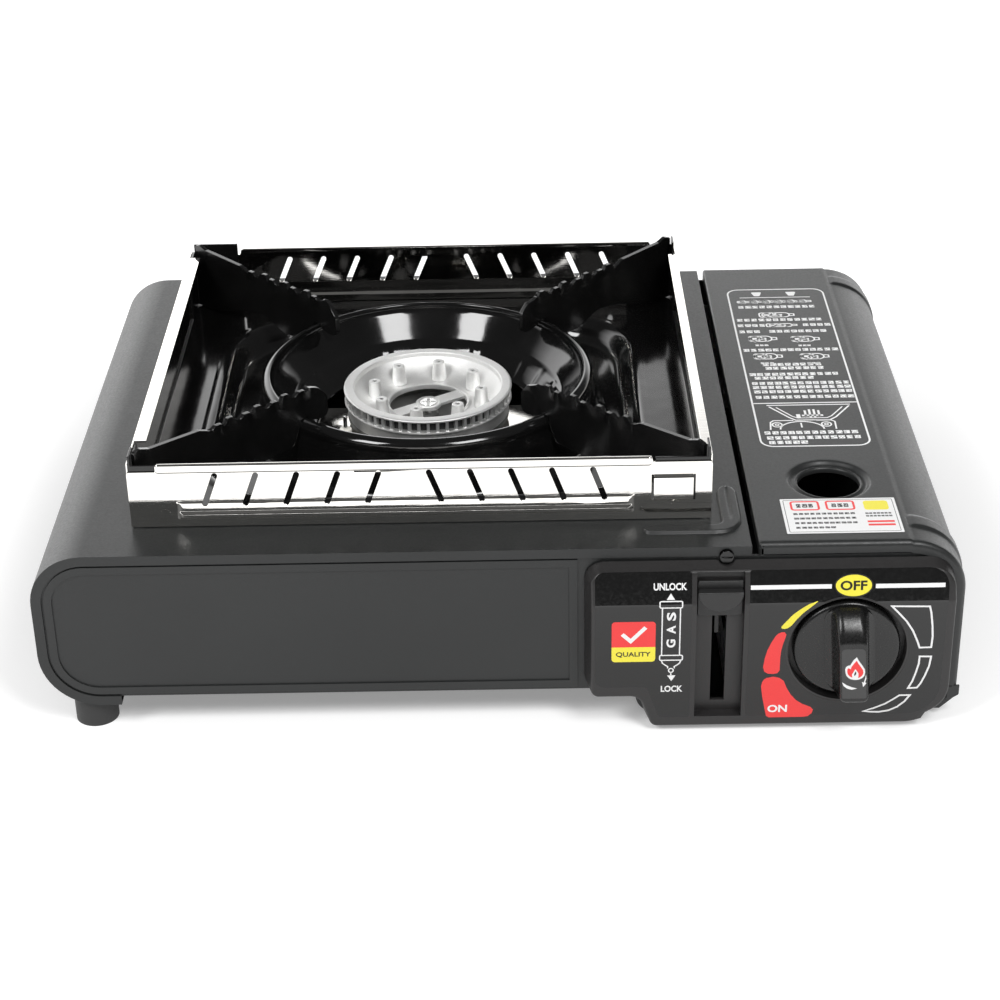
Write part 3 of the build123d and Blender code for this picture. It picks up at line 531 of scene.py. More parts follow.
def soften(bm: Mesh, width: float, segments: int = 2, angle: float = 40.0,
           where: Optional[Callable[[bmesh.types.BMEdge], bool]] = None) -> None:
    """Round the sharp edges of a mesh.

    Args:
        bm: The mesh.
        width: Width of the rounding in millimetres.
        segments: Faces across it.
        angle: Least angle in degrees between the faces of an edge that is rounded.
        where: Picks the edges, if only some are rounded.
    """
    sharp = [e for e in bm.edges if len(e.link_faces) == 2
             and e.calc_face_angle(0.0) > math.radians(angle) and (where is None or where(e))]
    bmesh.ops.bevel(bm, geom=sharp, offset=width, affect="EDGES", segments=segments, profile=0.5,
                    material=-1, clamp_overlap=True, offset_type="OFFSET")


def thicken(bm: Mesh, sheet: float, way: Vector = UP) -> None:
    """Give a sheet its thickness, behind the side that looks one way.

    Args:
        bm: The sheet.
        sheet: Its thickness in millimetres.
        way: Where the side that stays in place looks.
    """
    bmesh.ops.recalc_face_normals(bm, faces=bm.faces)
    level = max(bm.faces, key=lambda f: abs(f.normal.dot(way)))
    if level.normal.dot(way) < 0.0:
        bmesh.ops.reverse_faces(bm, faces=bm.faces)
    bmesh.ops.solidify(bm, geom=bm.faces[:], thickness=sheet)


def slice_at(bm: Mesh, axis: Sequence[float], levels: Iterable[float]) -> None:
    """Cut edges across a mesh where planes pass through it.

    Args:
        bm: The mesh.
        axis: What the planes are square to.
        levels: Where they are along it.
    """
    for level in levels:
        bmesh.ops.bisect_plane(bm, geom=bm.verts[:] + bm.edges[:] + bm.faces[:], dist=1e-5,
                               plane_co=Vector(axis) * level, plane_no=axis)


def grow(bm: Mesh, row: Sequence[Vert], points: Sequence[Sequence[float]],
         closed: bool = True) -> list[Vert]:
    """Extrude a row of vertices to new places.

    Args:
        bm: The mesh.
        row: Vertices joined by edges, in order.
        points: Where their copies go.
        closed: Whether the row goes round.

    Returns:
        The new row.
    """
    pairs = zip(row, list(row[1:]) + [row[0]] if closed else row[1:])
    made = bmesh.ops.extrude_edge_only(bm, edges=[bm.edges.get(pair) for pair in pairs])["geom"]
    fresh = {item for item in made if isinstance(item, Vert)}
    grown = [next(e.other_vert(vert) for e in vert.link_edges if e.other_vert(vert) in fresh)
             for vert in row]
    for vert, point in zip(grown, points):
        vert.co = point
    return grown


def outlined(bm: Mesh, points: Sequence[Sequence[float]], closed: bool = True) -> list[Vert]:
    """Vertices joined in order by edges.

    Args:
        bm: The mesh that gets them.
        points: Their places.
        closed: Whether the last is joined to the first.

    Returns:
        The vertices.
    """
    row = [bm.verts.new(point) for point in points]
    for pair in zip(row, row[1:] + row[:1] if closed else row[1:]):
        bm.edges.new(pair)
    return row


def loft(bm: Mesh, rings: Sequence[Sequence[Sequence[float]]], closed: bool = True,
         first: bool = False, last: bool = False) -> list[list[Vert]]:
    """Extrude a row of points through further rows.

    Args:
        bm: The mesh that gets them.
        rings: Rows with the same number of points each.
        closed: Whether each row goes round.
        first: Whether the first row is filled.
        last: Whether the last row is filled.

    Returns:
        The vertices, row by row.
    """
    rows = [outlined(bm, rings[0], closed)]
    for ring in rings[1:]:
        rows.append(grow(bm, rows[-1], ring, closed))
    if first:
        bm.faces.new(rows[0])
    if last:
        bm.faces.new(rows[-1])
    return rows


def extruded(bm: Mesh, outline: Path, ends: Point) -> None:
    """Add a closed body with an outline in (x, z) between two places along Y."""
    loft(bm, [[(x, y, z) for x, z in outline] for y in ends], first=True, last=True)


def turned(bm: Mesh, section: Path, middle: Sequence[float], steps: int = 96,
           closed: bool = False) -> None:
    """Spin a section a full turn about an upright axis.

    Args:
        bm: The mesh that gets it.
        section: Its (radius, height) points.
        middle: The place that both are counted from.
        steps: Faces round the turn.
        closed: Whether the section closes on itself.
    """
    row = outlined(bm, [Vector(middle) + Vector((r, 0.0, z)) for r, z in section], closed)
    edges = list({edge for vert in row for edge in vert.link_edges})
    bmesh.ops.spin(bm, geom=row + edges, cent=middle, axis=UP, angle=math.tau, steps=steps,
                   use_merge=True)


def smooth_step(value: float) -> float:
    """Rise from 0 to 1 with soft ends."""
    value = min(max(value, 0.0), 1.0)
    return value * value * (3.0 - 2.0 * value)


def stations(start: float, end: float, step: float) -> list[float]:
    """Even stations from start to end, about step apart."""
    count = max(1, round(abs(end - start) / step))
    return [start + (end - start) * i / count for i in range(count + 1)]


def rounded(corners: Sequence[tuple[float, float, float]], steps: int = 6) -> list[Point]:
    """Closed outline through (u, v, radius) corners.

    Args:
        corners: The corners and the radius of each.
        steps: Straight runs in each rounded corner.

    Returns:
        The outline's points.
    """
    outline = []
    for index, (u, v, radius) in enumerate(corners):
        if not radius:
            outline.append((u, v))
            continue
        here = Vector((u, v))
        to_last = Vector(corners[index - 1][:2]) - here
        to_next = Vector(corners[(index + 1) % len(corners)][:2]) - here
        back, ahead = to_last.normalized(), to_next.normalized()
        half = back.angle(ahead) / 2.0
        room = 0.48 * min(to_last.length, to_next.length)
        radius = min(radius, room * math.tan(half))
        middle = here + (back + ahead).normalized() * (radius / math.sin(half))
        reach = radius / math.tan(half)
        arm_in = (here + back * reach - middle).normalized()
        arm_out = (here + ahead * reach - middle).normalized()
        outline += [tuple(middle + radius * arm_in.slerp(arm_out, i / steps))
                    for i in range(steps + 1)]
    return outline


def box(u0: float, v0: float, u1: float, v1: float, near: float, far: Optional[float] = None,
        steps: int = 6) -> list[Point]:
    """Rectangle with rounded corners.

    Args:
        u0: First side.
        v0: First edge.
        u1: Side across from the first.
        v1: Edge across from the first.
        near: Radius of the corners on the first edge.
        far: Radius of the other two corners, where it differs.
        steps: Straight runs in each rounded corner.

    Returns:
        The outline's points.
    """
    far = near if far is None else far
    return rounded([(u0, v0, near), (u1, v0, near), (u1, v1, far), (u0, v1, far)], steps)


def arc(middle: Point, radius: float, start: float, end: float, steps: int,
        squash: float = 1.0) -> list[Point]:
    """Points along an arc.

    Args:
        middle: Its centre.
        radius: Its radius.
        start: Angle in degrees at its first point.
        end: Angle in degrees at its last point.
        steps: Straight runs between them.
        squash: Factor on the radius along v.

    Returns:
        The points, both ends with them.
    """
    turns = [math.radians(start + (end - start) * i / steps) for i in range(steps + 1)]
    return [(middle[0] + radius * math.cos(turn), middle[1] + radius * squash * math.sin(turn))
            for turn in turns]


def circle(u: float, v: float, radius: float, count: int = 48, squash: float = 1.0) -> list[Point]:
    """Points of a circle, or of an ellipse if squashed along v."""
    return arc((u, v), radius, 0.0, 360.0, count, squash)[:-1]


def capsule(start: Point, end: Point, radius: float, steps: int = 8) -> list[Point]:
    """Outline of a slot.

    Args:
        start: Centre of its first end.
        end: Centre of its other end.
        radius: Half its width.
        steps: Straight runs round each end.

    Returns:
        The outline's points.
    """
    along = math.degrees(math.atan2(end[1] - start[1], end[0] - start[0]))
    return (arc(end, radius, along - 90.0, along + 90.0, steps)
            + arc(start, radius, along + 90.0, along + 270.0, steps))


def as_mesh(data: Union[bpy.types.Curve, bpy.types.TextCurve]) -> bpy.types.Mesh:
    """Turn a flat curve or a text into a mesh.

    Args:
        data: The curve, which is removed.

    Returns:
        Its filled faces.
    """
    holder = bpy.data.objects.new("outline", data)
    mesh = bpy.data.meshes.new_from_object(holder)
    bpy.data.objects.remove(holder)
    bpy.data.curves.remove(data)
    return mesh


def filled(*loops: Path) -> bpy.types.Mesh:
    """Fill the first loop, leaving out the others.

    Args:
        loops: Closed outlines.

    Returns:
        The flat faces.
    """
    curve = bpy.data.curves.new("outline", "CURVE")
    curve.dimensions = "2D"
    curve.fill_mode = "BOTH"
    for loop in loops:
        spline = curve.splines.new("POLY")
        spline.points.add(len(loop) - 1)
        for point, (u, v) in zip(spline.points, loop):
            point.co = (u, v, 0.0, 1.0)
        spline.use_cyclic_u = True
    return as_mesh(curve)


def beside(points: Path, distance: float, closed: bool) -> list[Point]:
    """A line beside another, on its left.

    Args:
        points: The line.
        distance: How far beside it, negative for its right.
        closed: Whether the line closes on itself.

    Returns:
        The new line's points.
    """
    moved = []
    count = len(points)
    for i in range(count):
        here = Vector(points[i])
        back = here - Vector(points[i - 1]) if closed or i else None
        ahead = Vector(points[(i + 1) % count]) - here if closed or i < count - 1 else None
        sides = [Vector((-way.y, way.x)).normalized() for way in (back, ahead) if way is not None]
        side = sum(sides, Vector((0.0, 0.0))).normalized()
        moved.append(tuple(here + side * (distance / max(side.dot(sides[0]), 0.4))))
    return moved


class Artwork:
    """Flat print, drawn in (u, v) millimetres and gathered into one mesh."""

    def __init__(self) -> None:
        """Start with nothing drawn."""
        self.bm = bmesh.new()

    def add(self, mesh: bpy.types.Mesh) -> None:
        """Take over the faces of a mesh."""
        self.bm.from_mesh(mesh)
        bpy.data.meshes.remove(mesh)

    def fill(self, *loops: Path) -> None:
        """Fill the first loop, leaving out the others."""
        self.add(filled(*loops))

    def stroke(self, points: Path, width: float, closed: bool = True) -> None:
        """Draw a line of the given width along points."""
        sides = [beside(points, side * width / 2.0, closed) for side in (1.0, -1.0)]
        loft(self.bm, [[(u, v, 0.0) for u, v in side] for side in sides], closed)

    def bar(self, u: float, v: float, width: float, height: float) -> None:
        """Draw a rectangle with its middle at u, v."""
        self.bm.faces.new([self.bm.verts.new((u + a * width / 2.0, v + b * height / 2.0, 0.0))
                           for a, b in ((-1, -1), (1, -1), (1, 1), (-1, 1))])

    def text(self, words: str, middle: Point, width: float, height: float, upward: bool = False,
             weight: float = 0.0) -> None:
        """Write generic words.

        Args:
            words: What is written.
            middle: Where its middle is.
            width: Its length.
            height: Height of its capitals.
            upward: Whether it reads upward, not across.
            weight: How much bolder it is than the plain letters.
        """
        data = bpy.data.curves.new("words", "FONT")
        data.body = words
        data.offset = weight
        data.resolution_u = 4
        mesh = as_mesh(data)
        across = [v.co.x for v in mesh.vertices]
        tall = [v.co.y for v in mesh.vertices]
        low = Vector((min(across), min(tall), 0.0))
        size = Vector((max(across), max(tall), 0.0)) - low
        turn = Matrix.Rotation(math.pi / 2 if upward else 0.0, 4, "Z")
        fit = Matrix.Diagonal((width / size.x, height / size.y, 1.0, 1.0))
        mesh.transform(Matrix.Translation((*middle, 0.0)) @ turn @ fit
                       @ Matrix.Translation(-(low + size / 2.0)))
        self.add(mesh)

    def finish(self, depth: float = 0.03) -> Mesh:
        """Give the print a little thickness.

        Args:
            depth: The thickness in millimetres.

        Returns:
            The mesh.
        """
        bmesh.ops.recalc_face_normals(self.bm, faces=self.bm.faces)
        for face in self.bm.faces:
            if face.normal.z < 0.0:
                face.normal_flip()
        bmesh.ops.solidify(self.bm, geom=self.bm.faces[:], thickness=depth)
        return self.bm

    def upright(self, y: float) -> Mesh:
        """Stand the print up, to be read from the front.

        Args:
            y: Where its back is.

        Returns:
            The mesh, with v as height.
        """
        bm = self.finish()
        for vert in bm.verts:
            u, v, w = vert.co
            vert.co = (u, y - w, v)
        return bm

    def lying(self, z: float) -> Mesh:
        """Lay the print down.

        Args:
            z: Height of its underside.

        Returns:
            The mesh.
        """
        bm = self.finish()
        bmesh.ops.translate(bm, verts=bm.verts, vec=(0.0, 0.0, z))
        return bm


@dataclass
class PlainParts:
    """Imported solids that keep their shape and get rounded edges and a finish."""

    body: str
    look: Look
    nodes: Sequence[str]
    edge: float = 0.25

    def build(self) -> None:
        """Make one piece for each node."""
        for node in self.nodes:
            bm = drawn(node)
            if self.edge:
                soften(bm, self.edge)
            settle(f"{node}_skin", bm, self.look, self.body, node)


# ------------------------------------------------------------------ sheet body
@dataclass
class Wrap:
    """Top and left side of the body, with soft bends at the ends and one broad bent rib."""

    bend: float = 1.0
    inside: float = 42.0
    rib_height: float = 1.1
    rib_shoulder: float = 0.85
    rib_path: Sequence[tuple[float, float, float]] = (
        (55.6, -113.1, 5.6), (60.0, -113.1, 5.6), (78.4, -113.1, 5.8), (81.4, -112.6, 6.2),
        (83.7, -111.0, 6.8), (85.0, -108.6, 7.4), (85.3, -105.6, 7.8), (85.3, -102.0, 7.8),
        (85.3, -85.3, 7.8))
    groove: Point = (-106.0, -84.0)
    groove_depth: float = 0.55
    groove_half: float = 0.9
    overlap: float = 0.02

    def rib(self, bm: Mesh) -> None:
        """Raise the rib, with round ends and a groove along the leg that runs back.

        Args:
            bm: The mesh that gets it.
        """
        path = [(Vector((x, y)), width / 2.0) for x, y, width in self.rib_path]
        caps = []
        for (here, half), (inner, _) in ((path[0], path[1]), (path[-1], path[-2])):
            away = (here - inner).normalized()
            caps.append([(here + away * half * math.sin(turn), half * math.cos(turn))
                         for turn in (0.7, 1.15, 1.45)])
        path = caps[0][::-1] + path + caps[1]
        start, end = self.groove
        rings = []
        for index, (here, half) in enumerate(path):
            way = path[min(index + 1, len(path) - 1)][0] - path[max(index - 1, 0)][0]
            side = Vector((-way.y, way.x)).normalized()
            deep = smooth_step((here.y - start) / 3.0) * smooth_step(end - here.y + 1.0)
            ring = []
            for t in stations(-1.0, 1.0, 0.1):
                raised = smooth_step((1.0 - abs(t)) * half / self.rib_shoulder)
                sunk = deep * smooth_step(1.0 - abs(t) * half / self.groove_half)
                height = self.rib_height * raised - self.groove_depth * sunk - self.overlap
                ring.append((*(here + side * half * t), BODY_TOP + height))
            rings.append(ring)
        loft(bm, rings, closed=False)

    def outer(self, edge: bmesh.types.BMEdge) -> bool:
        """Find the outside bends at the front and rear.

        Args:
            edge: An edge of the sheet.

        Returns:
            Whether it is on one of them.
        """
        upright, flat = sorted(edge.link_faces, key=lambda f: -abs(f.normal.y))
        middle = (edge.verts[0].co + edge.verts[1].co) / 2.0
        out = Vector((middle.x, 0.0, middle.z - self.inside))
        return abs(upright.normal.y) > 0.9 and flat.normal.dot(out) > 0.0

    def build(self) -> None:
        """Make the piece."""
        bm = drawn("body_wrap")
        for vert in bm.verts:
            vert.co.z = min(vert.co.z, BODY_TOP)
        bmesh.ops.remove_doubles(bm, verts=bm.verts, dist=1e-4)
        merge_flat(bm)
        bm.normal_update()
        soften(bm, self.bend, 4, where=self.outer)
        self.rib(bm)
        settle("body_wrap_skin", bm, Look.BODY, "stove", "body_wrap")


# ------------------------------------------------------------------ control panel
def lean_back(bm: Mesh, start: float = 54.0, bend: float = 1.2, slope: float = 0.21,
              back: float = -126.0, depth: float = 7.0) -> None:
    """Tip the strip along the control panel's top back.

    Args:
        bm: A mesh on the panel's face, in the drawing frame.
        start: Height where the strip begins.
        bend: Height over which the face bends.
        slope: Run of the strip for each millimetre of height.
        back: Place along Y where nothing moves.
        depth: Distance in front of it where the whole lean is reached.
    """
    slice_at(bm, UP, stations(start, start + bend, bend / 4.0))
    for vert in bm.verts:
        over = vert.co.z - start
        if over > 0.0:
            share = min(max((back - vert.co.y) / depth, 0.0), 1.1)
            rise = over * over / (2.0 * bend) if over < bend else over - bend / 2.0
            vert.co.y += slope * rise * share


@dataclass
class ControlPanel:
    """Moulded panel with its two smooth fields and everything printed on them."""

    film_gap: float = 0.05
    ink_gap: float = 0.04
    foot: float = 6.5
    head: float = 67.4
    back: float = -125.6
    depth: float = 7.4
    flare: float = 2.3
    edge: float = 6.4
    step_end: float = 62.0
    step_foot: float = 12.0
    step_top: float = 24.0
    line: float = 0.45
    bold: float = 0.03
    white: Artwork = field(default_factory=Artwork)
    red: Artwork = field(default_factory=Artwork)
    yellow: Artwork = field(default_factory=Artwork)
    black: Artwork = field(default_factory=Artwork)

    def place(self, art: Artwork, name: str, look: Look, layer: int) -> None:
        """Put a print on the panel's face.

        Args:
            art: The print.
            name: The piece's name.
            look: Its ink.
            layer: How many other prints it may lie on.
        """
        bm = art.upright(FACE - self.film_gap - layer * self.ink_gap)
        lean_back(bm)
        settle(name, bm, look, "stove")

    def moulding(self) -> None:
        """The panel itself, its face widened at the bottom and the right."""
        bm = drawn("control_panel")
        soften(bm, 0.3, 2, 55.0)
        lean_back(bm)
        for vert in bm.verts:
            share = self.flare * min(max((self.back - vert.co.y) / self.depth, 0.0), 1.0)
            on_step = vert.co.x < self.step_end
            if vert.co.z < self.edge or (on_step and vert.co.z < self.step_top):
                vert.co.z -= share * (1.35 if on_step and vert.co.z > self.step_foot else 1.0)
            vert.co.x += share * smooth_step((vert.co.x - 152.0) / 9.0)
        settle("control_panel_skin", bm, Look.PANEL, "stove", "control_panel")

    def film(self) -> None:
        """Two smooth printed fields."""
        foot, head = self.foot, self.head
        art = Artwork()
        art.fill(rounded([
            (34.6, head, 3.5), (69.4, head, 1.2), (69.4, foot, 0.8), (58.2, foot, 2.5),
            (53.6, 20.0, 2.5), (34.6, 20.0, 3.5)]))
        art.fill(rounded([(90.2, head, 0.8), (161.6, head, 7.0), (161.0, foot, 12.0),
                          (90.2, foot, 0.8)]), circle(KNOB_MIDDLE.x, KNOB_MIDDLE.z, 22.4, 72))
        self.place(art, "panel_film", Look.FILM, 0)

    def lock_signs(self) -> None:
        """Words, arrows and the canister sign beside the lever."""
        white = self.white
        white.text("UNLOCK", (61.6, 61.8), 12.0, 2.7, weight=self.bold)
        white.text("LOCK", (62.7, 19.1), 7.9, 2.7, weight=self.bold)
        for letter, height in zip("GAS", (38.7, 44.6, 50.2)):
            white.text(letter, (62.1, height), 3.5, 3.3, upward=True, weight=self.bold)
        white.fill([(61.8, 59.3), (60.3, 56.9), (63.3, 56.9)])
        white.fill([(61.0, 24.9), (62.5, 22.5), (64.0, 24.9)])
        white.stroke(box(57.9, 56.3, 66.0, 53.8, 0.5, steps=3), self.line)
        white.stroke(box(58.1, 33.6, 66.4, 31.5, 0.5, steps=3), self.line)
        neck = ((3.5, 31.3), (3.1, 30.2), (2.0, 29.3), (1.2, 28.8), (1.2, 28.0))
        for points in ([(58.8, 53.6), (58.8, 33.8)], [(65.3, 53.6), (65.3, 33.8)],
                       [(62.3 - u, v) for u, v in neck], [(62.3 + u, v) for u, v in neck],
                       [(62.3, 26.2), (62.3, 25.0)]):
            white.stroke(points, self.line, closed=False)
        white.stroke(circle(62.3, 27.1, 0.85, 20), self.line)

    def dial_signs(self) -> None:
        """Lines, outlines and the word beside the knob."""
        white = self.white
        white.bar(104.9, 60.95, 29.0, 1.6)
        white.bar(147.6, 60.8, 24.9, 1.6)
        white.text("ON", (101.8, 9.6), 7.2, 3.2, weight=self.bold)
        for outline in ([(141.3, 53.0), (154.9, 52.7), (155.6, 50.0), (156.4, 44.5), (156.8, 39.8),
                         (156.6, 35.3), (152.4, 35.2), (151.3, 38.3), (149.5, 42.5),
                         (147.0, 46.5), (144.1, 49.9)],
                        [(152.7, 31.4), (156.9, 31.3), (156.4, 27.1), (155.1, 22.8), (153.8, 19.6),
                         (152.6, 17.8), (149.4, 17.7), (150.8, 20.8), (151.8, 24.5),
                         (152.6, 28.2)],
                        [(146.5, 14.6), (150.3, 14.6), (148.5, 11.9), (145.9, 9.5), (142.8, 8.0),
                         (139.3, 7.4), (136.5, 7.5), (133.6, 7.8), (137.3, 9.1), (141.3, 10.9),
                         (144.1, 12.8)]):
            white.stroke(outline, 0.68)

    def badge(self) -> None:
        """A plain two-colour badge with a tick."""
        self.red.fill(box(40.6, 48.1, 56.5, 37.3, 1.3, 0.0))
        self.yellow.fill(box(40.6, 37.3, 56.5, 31.0, 0.0, 1.3))
        self.white.stroke([(44.4, 42.9), (47.5, 39.9), (52.9, 45.7)], 1.5, closed=False)
        self.black.text("QUALITY", (48.5, 34.1), 12.6, 2.3, weight=0.02)

    def ranges(self) -> None:
        """Wedges round the knob for its settings, and the word at rest."""
        red, yellow, black = self.red, self.yellow, self.black
        red.fill([
            (102.1, 42.7), (103.2, 42.7), (103.8, 41.6), (103.4, 39.8), (103.0, 38.5),
            (102.3, 35.4), (102.0, 32.0), (102.0, 29.2), (102.0, 26.3), (101.2, 25.1), (99.8, 24.8),
            (97.8, 24.9), (96.4, 25.9), (95.9, 27.8), (96.4, 31.6), (97.2, 35.0), (98.5, 38.3),
            (100.0, 41.1), (101.0, 42.2)])
        red.fill([
            (95.8, 21.2), (96.4, 22.4), (97.4, 23.1), (99.8, 23.6), (102.0, 23.1), (103.7, 21.7),
            (104.8, 18.8), (106.4, 15.8), (108.5, 13.2), (111.0, 11.4), (114.0, 10.1), (115.0, 8.9),
            (114.6, 7.3), (113.2, 6.0), (111.4, 5.7), (98.8, 5.7), (97.8, 6.4), (97.0, 10.2),
            (96.0, 15.4), (95.5, 19.5)])
        yellow.fill([
            (114.6, 55.6), (111.3, 54.3), (108.6, 52.4), (105.9, 50.1), (103.6, 47.3),
            (101.9, 45.1), (101.9, 44.4), (103.0, 44.1), (104.2, 44.4), (105.6, 45.6),
            (107.4, 48.2), (109.6, 50.8), (111.9, 52.9), (114.4, 55.2)])
        middle = (127.3, 61.15)
        yellow.fill(circle(*middle, 6.5, 48, 0.62))
        black.stroke(circle(*middle, 6.75, 48, 0.63), 0.5)
        black.text("OFF", middle, 9.6, 3.6, weight=0.028)

    def build(self) -> None:
        """Make the panel and its print."""
        self.moulding()
        self.film()
        self.lock_signs()
        self.dial_signs()
        self.badge()
        self.ranges()
        self.place(self.red, "panel_print_red", Look.RED, 1)
        self.place(self.yellow, "panel_print_yellow", Look.YELLOW, 1)
        self.place(self.white, "panel_print_white", Look.WHITE, 2)
        self.place(self.black, "panel_print_black", Look.BLACK, 2)


@dataclass
class Knob:
    """Round knob with a waisted grip bar, and its flame sign."""

    disc: Path = (
        (0.02, -132.75), (12.0, -132.75), (17.8, -132.7), (18.7, -132.5), (19.25, -132.0),
        (19.5, -131.3), (19.5, -129.2), (19.0, -128.8), (3.0, -128.8))
    bar_foot: float = -132.85
    levels: Sequence[tuple[float, float, float, float, float]] = (
        (0.0, 9.2, -18.9, 18.9, 7.6), (0.6, 7.4, -18.8, 18.8, 4.6), (1.5, 6.5, -18.7, 18.6, 3.6),
        (2.8, 6.0, -18.6, 18.2, 3.3), (4.2, 5.75, -18.3, 17.5, 3.1), (5.6, 5.6, -18.0, 16.5, 3.0),
        (7.0, 5.5, -17.6, 15.2, 2.9), (8.3, 5.4, -17.2, 13.8, 2.8), (9.2, 5.35, -16.9, 12.4, 2.7),
        (10.0, 5.25, -16.5, 11.0, 2.5), (10.5, 5.1, -16.1, 9.9, 2.2),
        (10.78, 4.95, -15.6, 8.9, 1.9), (10.9, 4.7, -15.0, 7.9, 1.6))
    sign_front: float = -143.77
    sign_gap: float = 0.025

    def slant(self, height: float) -> float:
        """How far the bar stands to the right of the middle at a height."""
        return 0.95 - 0.068 * height

    def body(self) -> None:
        """The disc and its grip bar."""
        bm = bmesh.new()
        loft(bm, [[(KNOB_MIDDLE.x + u, y, KNOB_MIDDLE.z + v) for u, v in circle(0.0, 0.0, r, 96)]
                  for r, y in self.disc], first=True)
        loft(bm, [[(KNOB_MIDDLE.x + self.slant(v) + u, self.bar_foot - proud, KNOB_MIDDLE.z + v)
                   for u, v in box(half, high, -half, low, corner, steps=7)]
                  for proud, half, low, high, corner in self.levels], last=True)
        bmesh.ops.recalc_face_normals(bm, faces=bm.faces)
        settle("knob_skin", bm, Look.KNOB, "knob", "knob", crease=50.0)

    def build(self) -> None:
        """Make the knob and its sign."""
        self.body()
        label, edge, red, drop, core = (Artwork() for _ in range(5))
        label.fill(rounded([
            (4.3, 7.0, 1.6), (-4.3, 7.0, 1.6), (-4.4, -14.2, 0.5), (4.4, -14.2, 0.5)], 4))
        edge.fill([
            (1.1, 3.6), (1.5, 2.6), (2.1, 1.5), (3.1, -0.1), (3.85, -1.6), (4.0, -2.9), (3.7, -4.3),
            (3.1, -5.2), (2.15, -5.8), (1.1, -6.1), (0.0, -6.1), (-1.2, -5.8), (-2.1, -5.2),
            (-2.8, -4.2), (-3.1, -2.9), (-3.2, -1.6), (-2.9, -0.6), (-2.2, 0.0), (-1.35, 0.2),
            (-0.7, 1.3), (-0.1, 2.4)])
        red.fill([
            (1.0, 2.1), (1.7, 0.6), (2.5, -0.6), (3.2, -1.9), (3.35, -3.0), (3.1, -3.9),
            (2.6, -4.6), (1.9, -5.1), (0.8, -5.4), (0.0, -5.4), (-0.9, -5.0), (-1.6, -4.5),
            (-2.2, -3.7), (-2.45, -2.8), (-2.4, -1.5), (-1.9, -1.0), (-1.2, -1.5), (-0.9, -0.5),
            (0.1, 1.0)])
        drop.fill(rounded([
            (0.5, -1.4, 0.1), (-0.8, -3.8, 0.8), (-0.6, -5.5, 0.5), (0.3, -5.9, 0.6),
            (1.5, -5.1, 0.6), (1.6, -3.3, 0.9)], 3))
        core.fill([(0.6, -2.3), (0.0, -3.6), (0.1, -4.4), (0.6, -3.9), (0.8, -3.0)])
        drop.fill([(-4.4, -7.0), (-2.7, -8.3), (-0.9, -9.2), (1.0, -9.8), (-0.9, -10.3),
                   (-2.6, -9.8), (-3.9, -8.6)])
        drop.fill([(4.3, -3.8), (4.35, -5.8), (3.9, -7.1), (4.4, -7.5), (3.2, -9.2), (2.8, -7.0),
                   (3.4, -7.3), (3.9, -5.8)])
        layers = (("knob_label", label, Look.LABEL_GREY), ("knob_flame_edge", edge, Look.WHITE),
                  ("knob_flame", red, Look.RED), ("knob_flame_core", drop, Look.WHITE),
                  ("knob_flame_eye", core, Look.BLACK))
        for layer, (name, art, look) in enumerate(layers):
            bm = art.upright(self.sign_front - layer * self.sign_gap)
            for vert in bm.verts:
                vert.co.x += KNOB_MIDDLE.x + self.slant(vert.co.z)
                vert.co.z += KNOB_MIDDLE.z
            settle(name, bm, look, "knob")


@dataclass
class LeverThumb:
    """Slider in the lever channel with its half-round thumb piece."""

    plate: tuple[float, float, float, float] = (71.5, 48.4, 88.1, 63.0)
    plate_front: float = -130.3
    plate_back: float = -129.1
    thumb_middle: Point = (79.8, 60.0)
    thumb_radius: float = 8.2
    thumb_front: float = -133.6

    def build(self) -> None:
        """Make the piece."""
        bm = bmesh.new()
        extruded(bm, box(*self.plate, 1.0, 0.6, 3), (self.plate_front, self.plate_back))
        extruded(bm, arc(self.thumb_middle, self.thumb_radius, 180.0, 360.0, 24),
                 (self.thumb_front, self.plate_front))
        bmesh.ops.recalc_face_normals(bm, faces=bm.faces)
        soften(bm, 0.45, 3, 50.0)
        settle("lever_thumb_skin", bm, Look.LEVER, "lever", "lever_thumb")


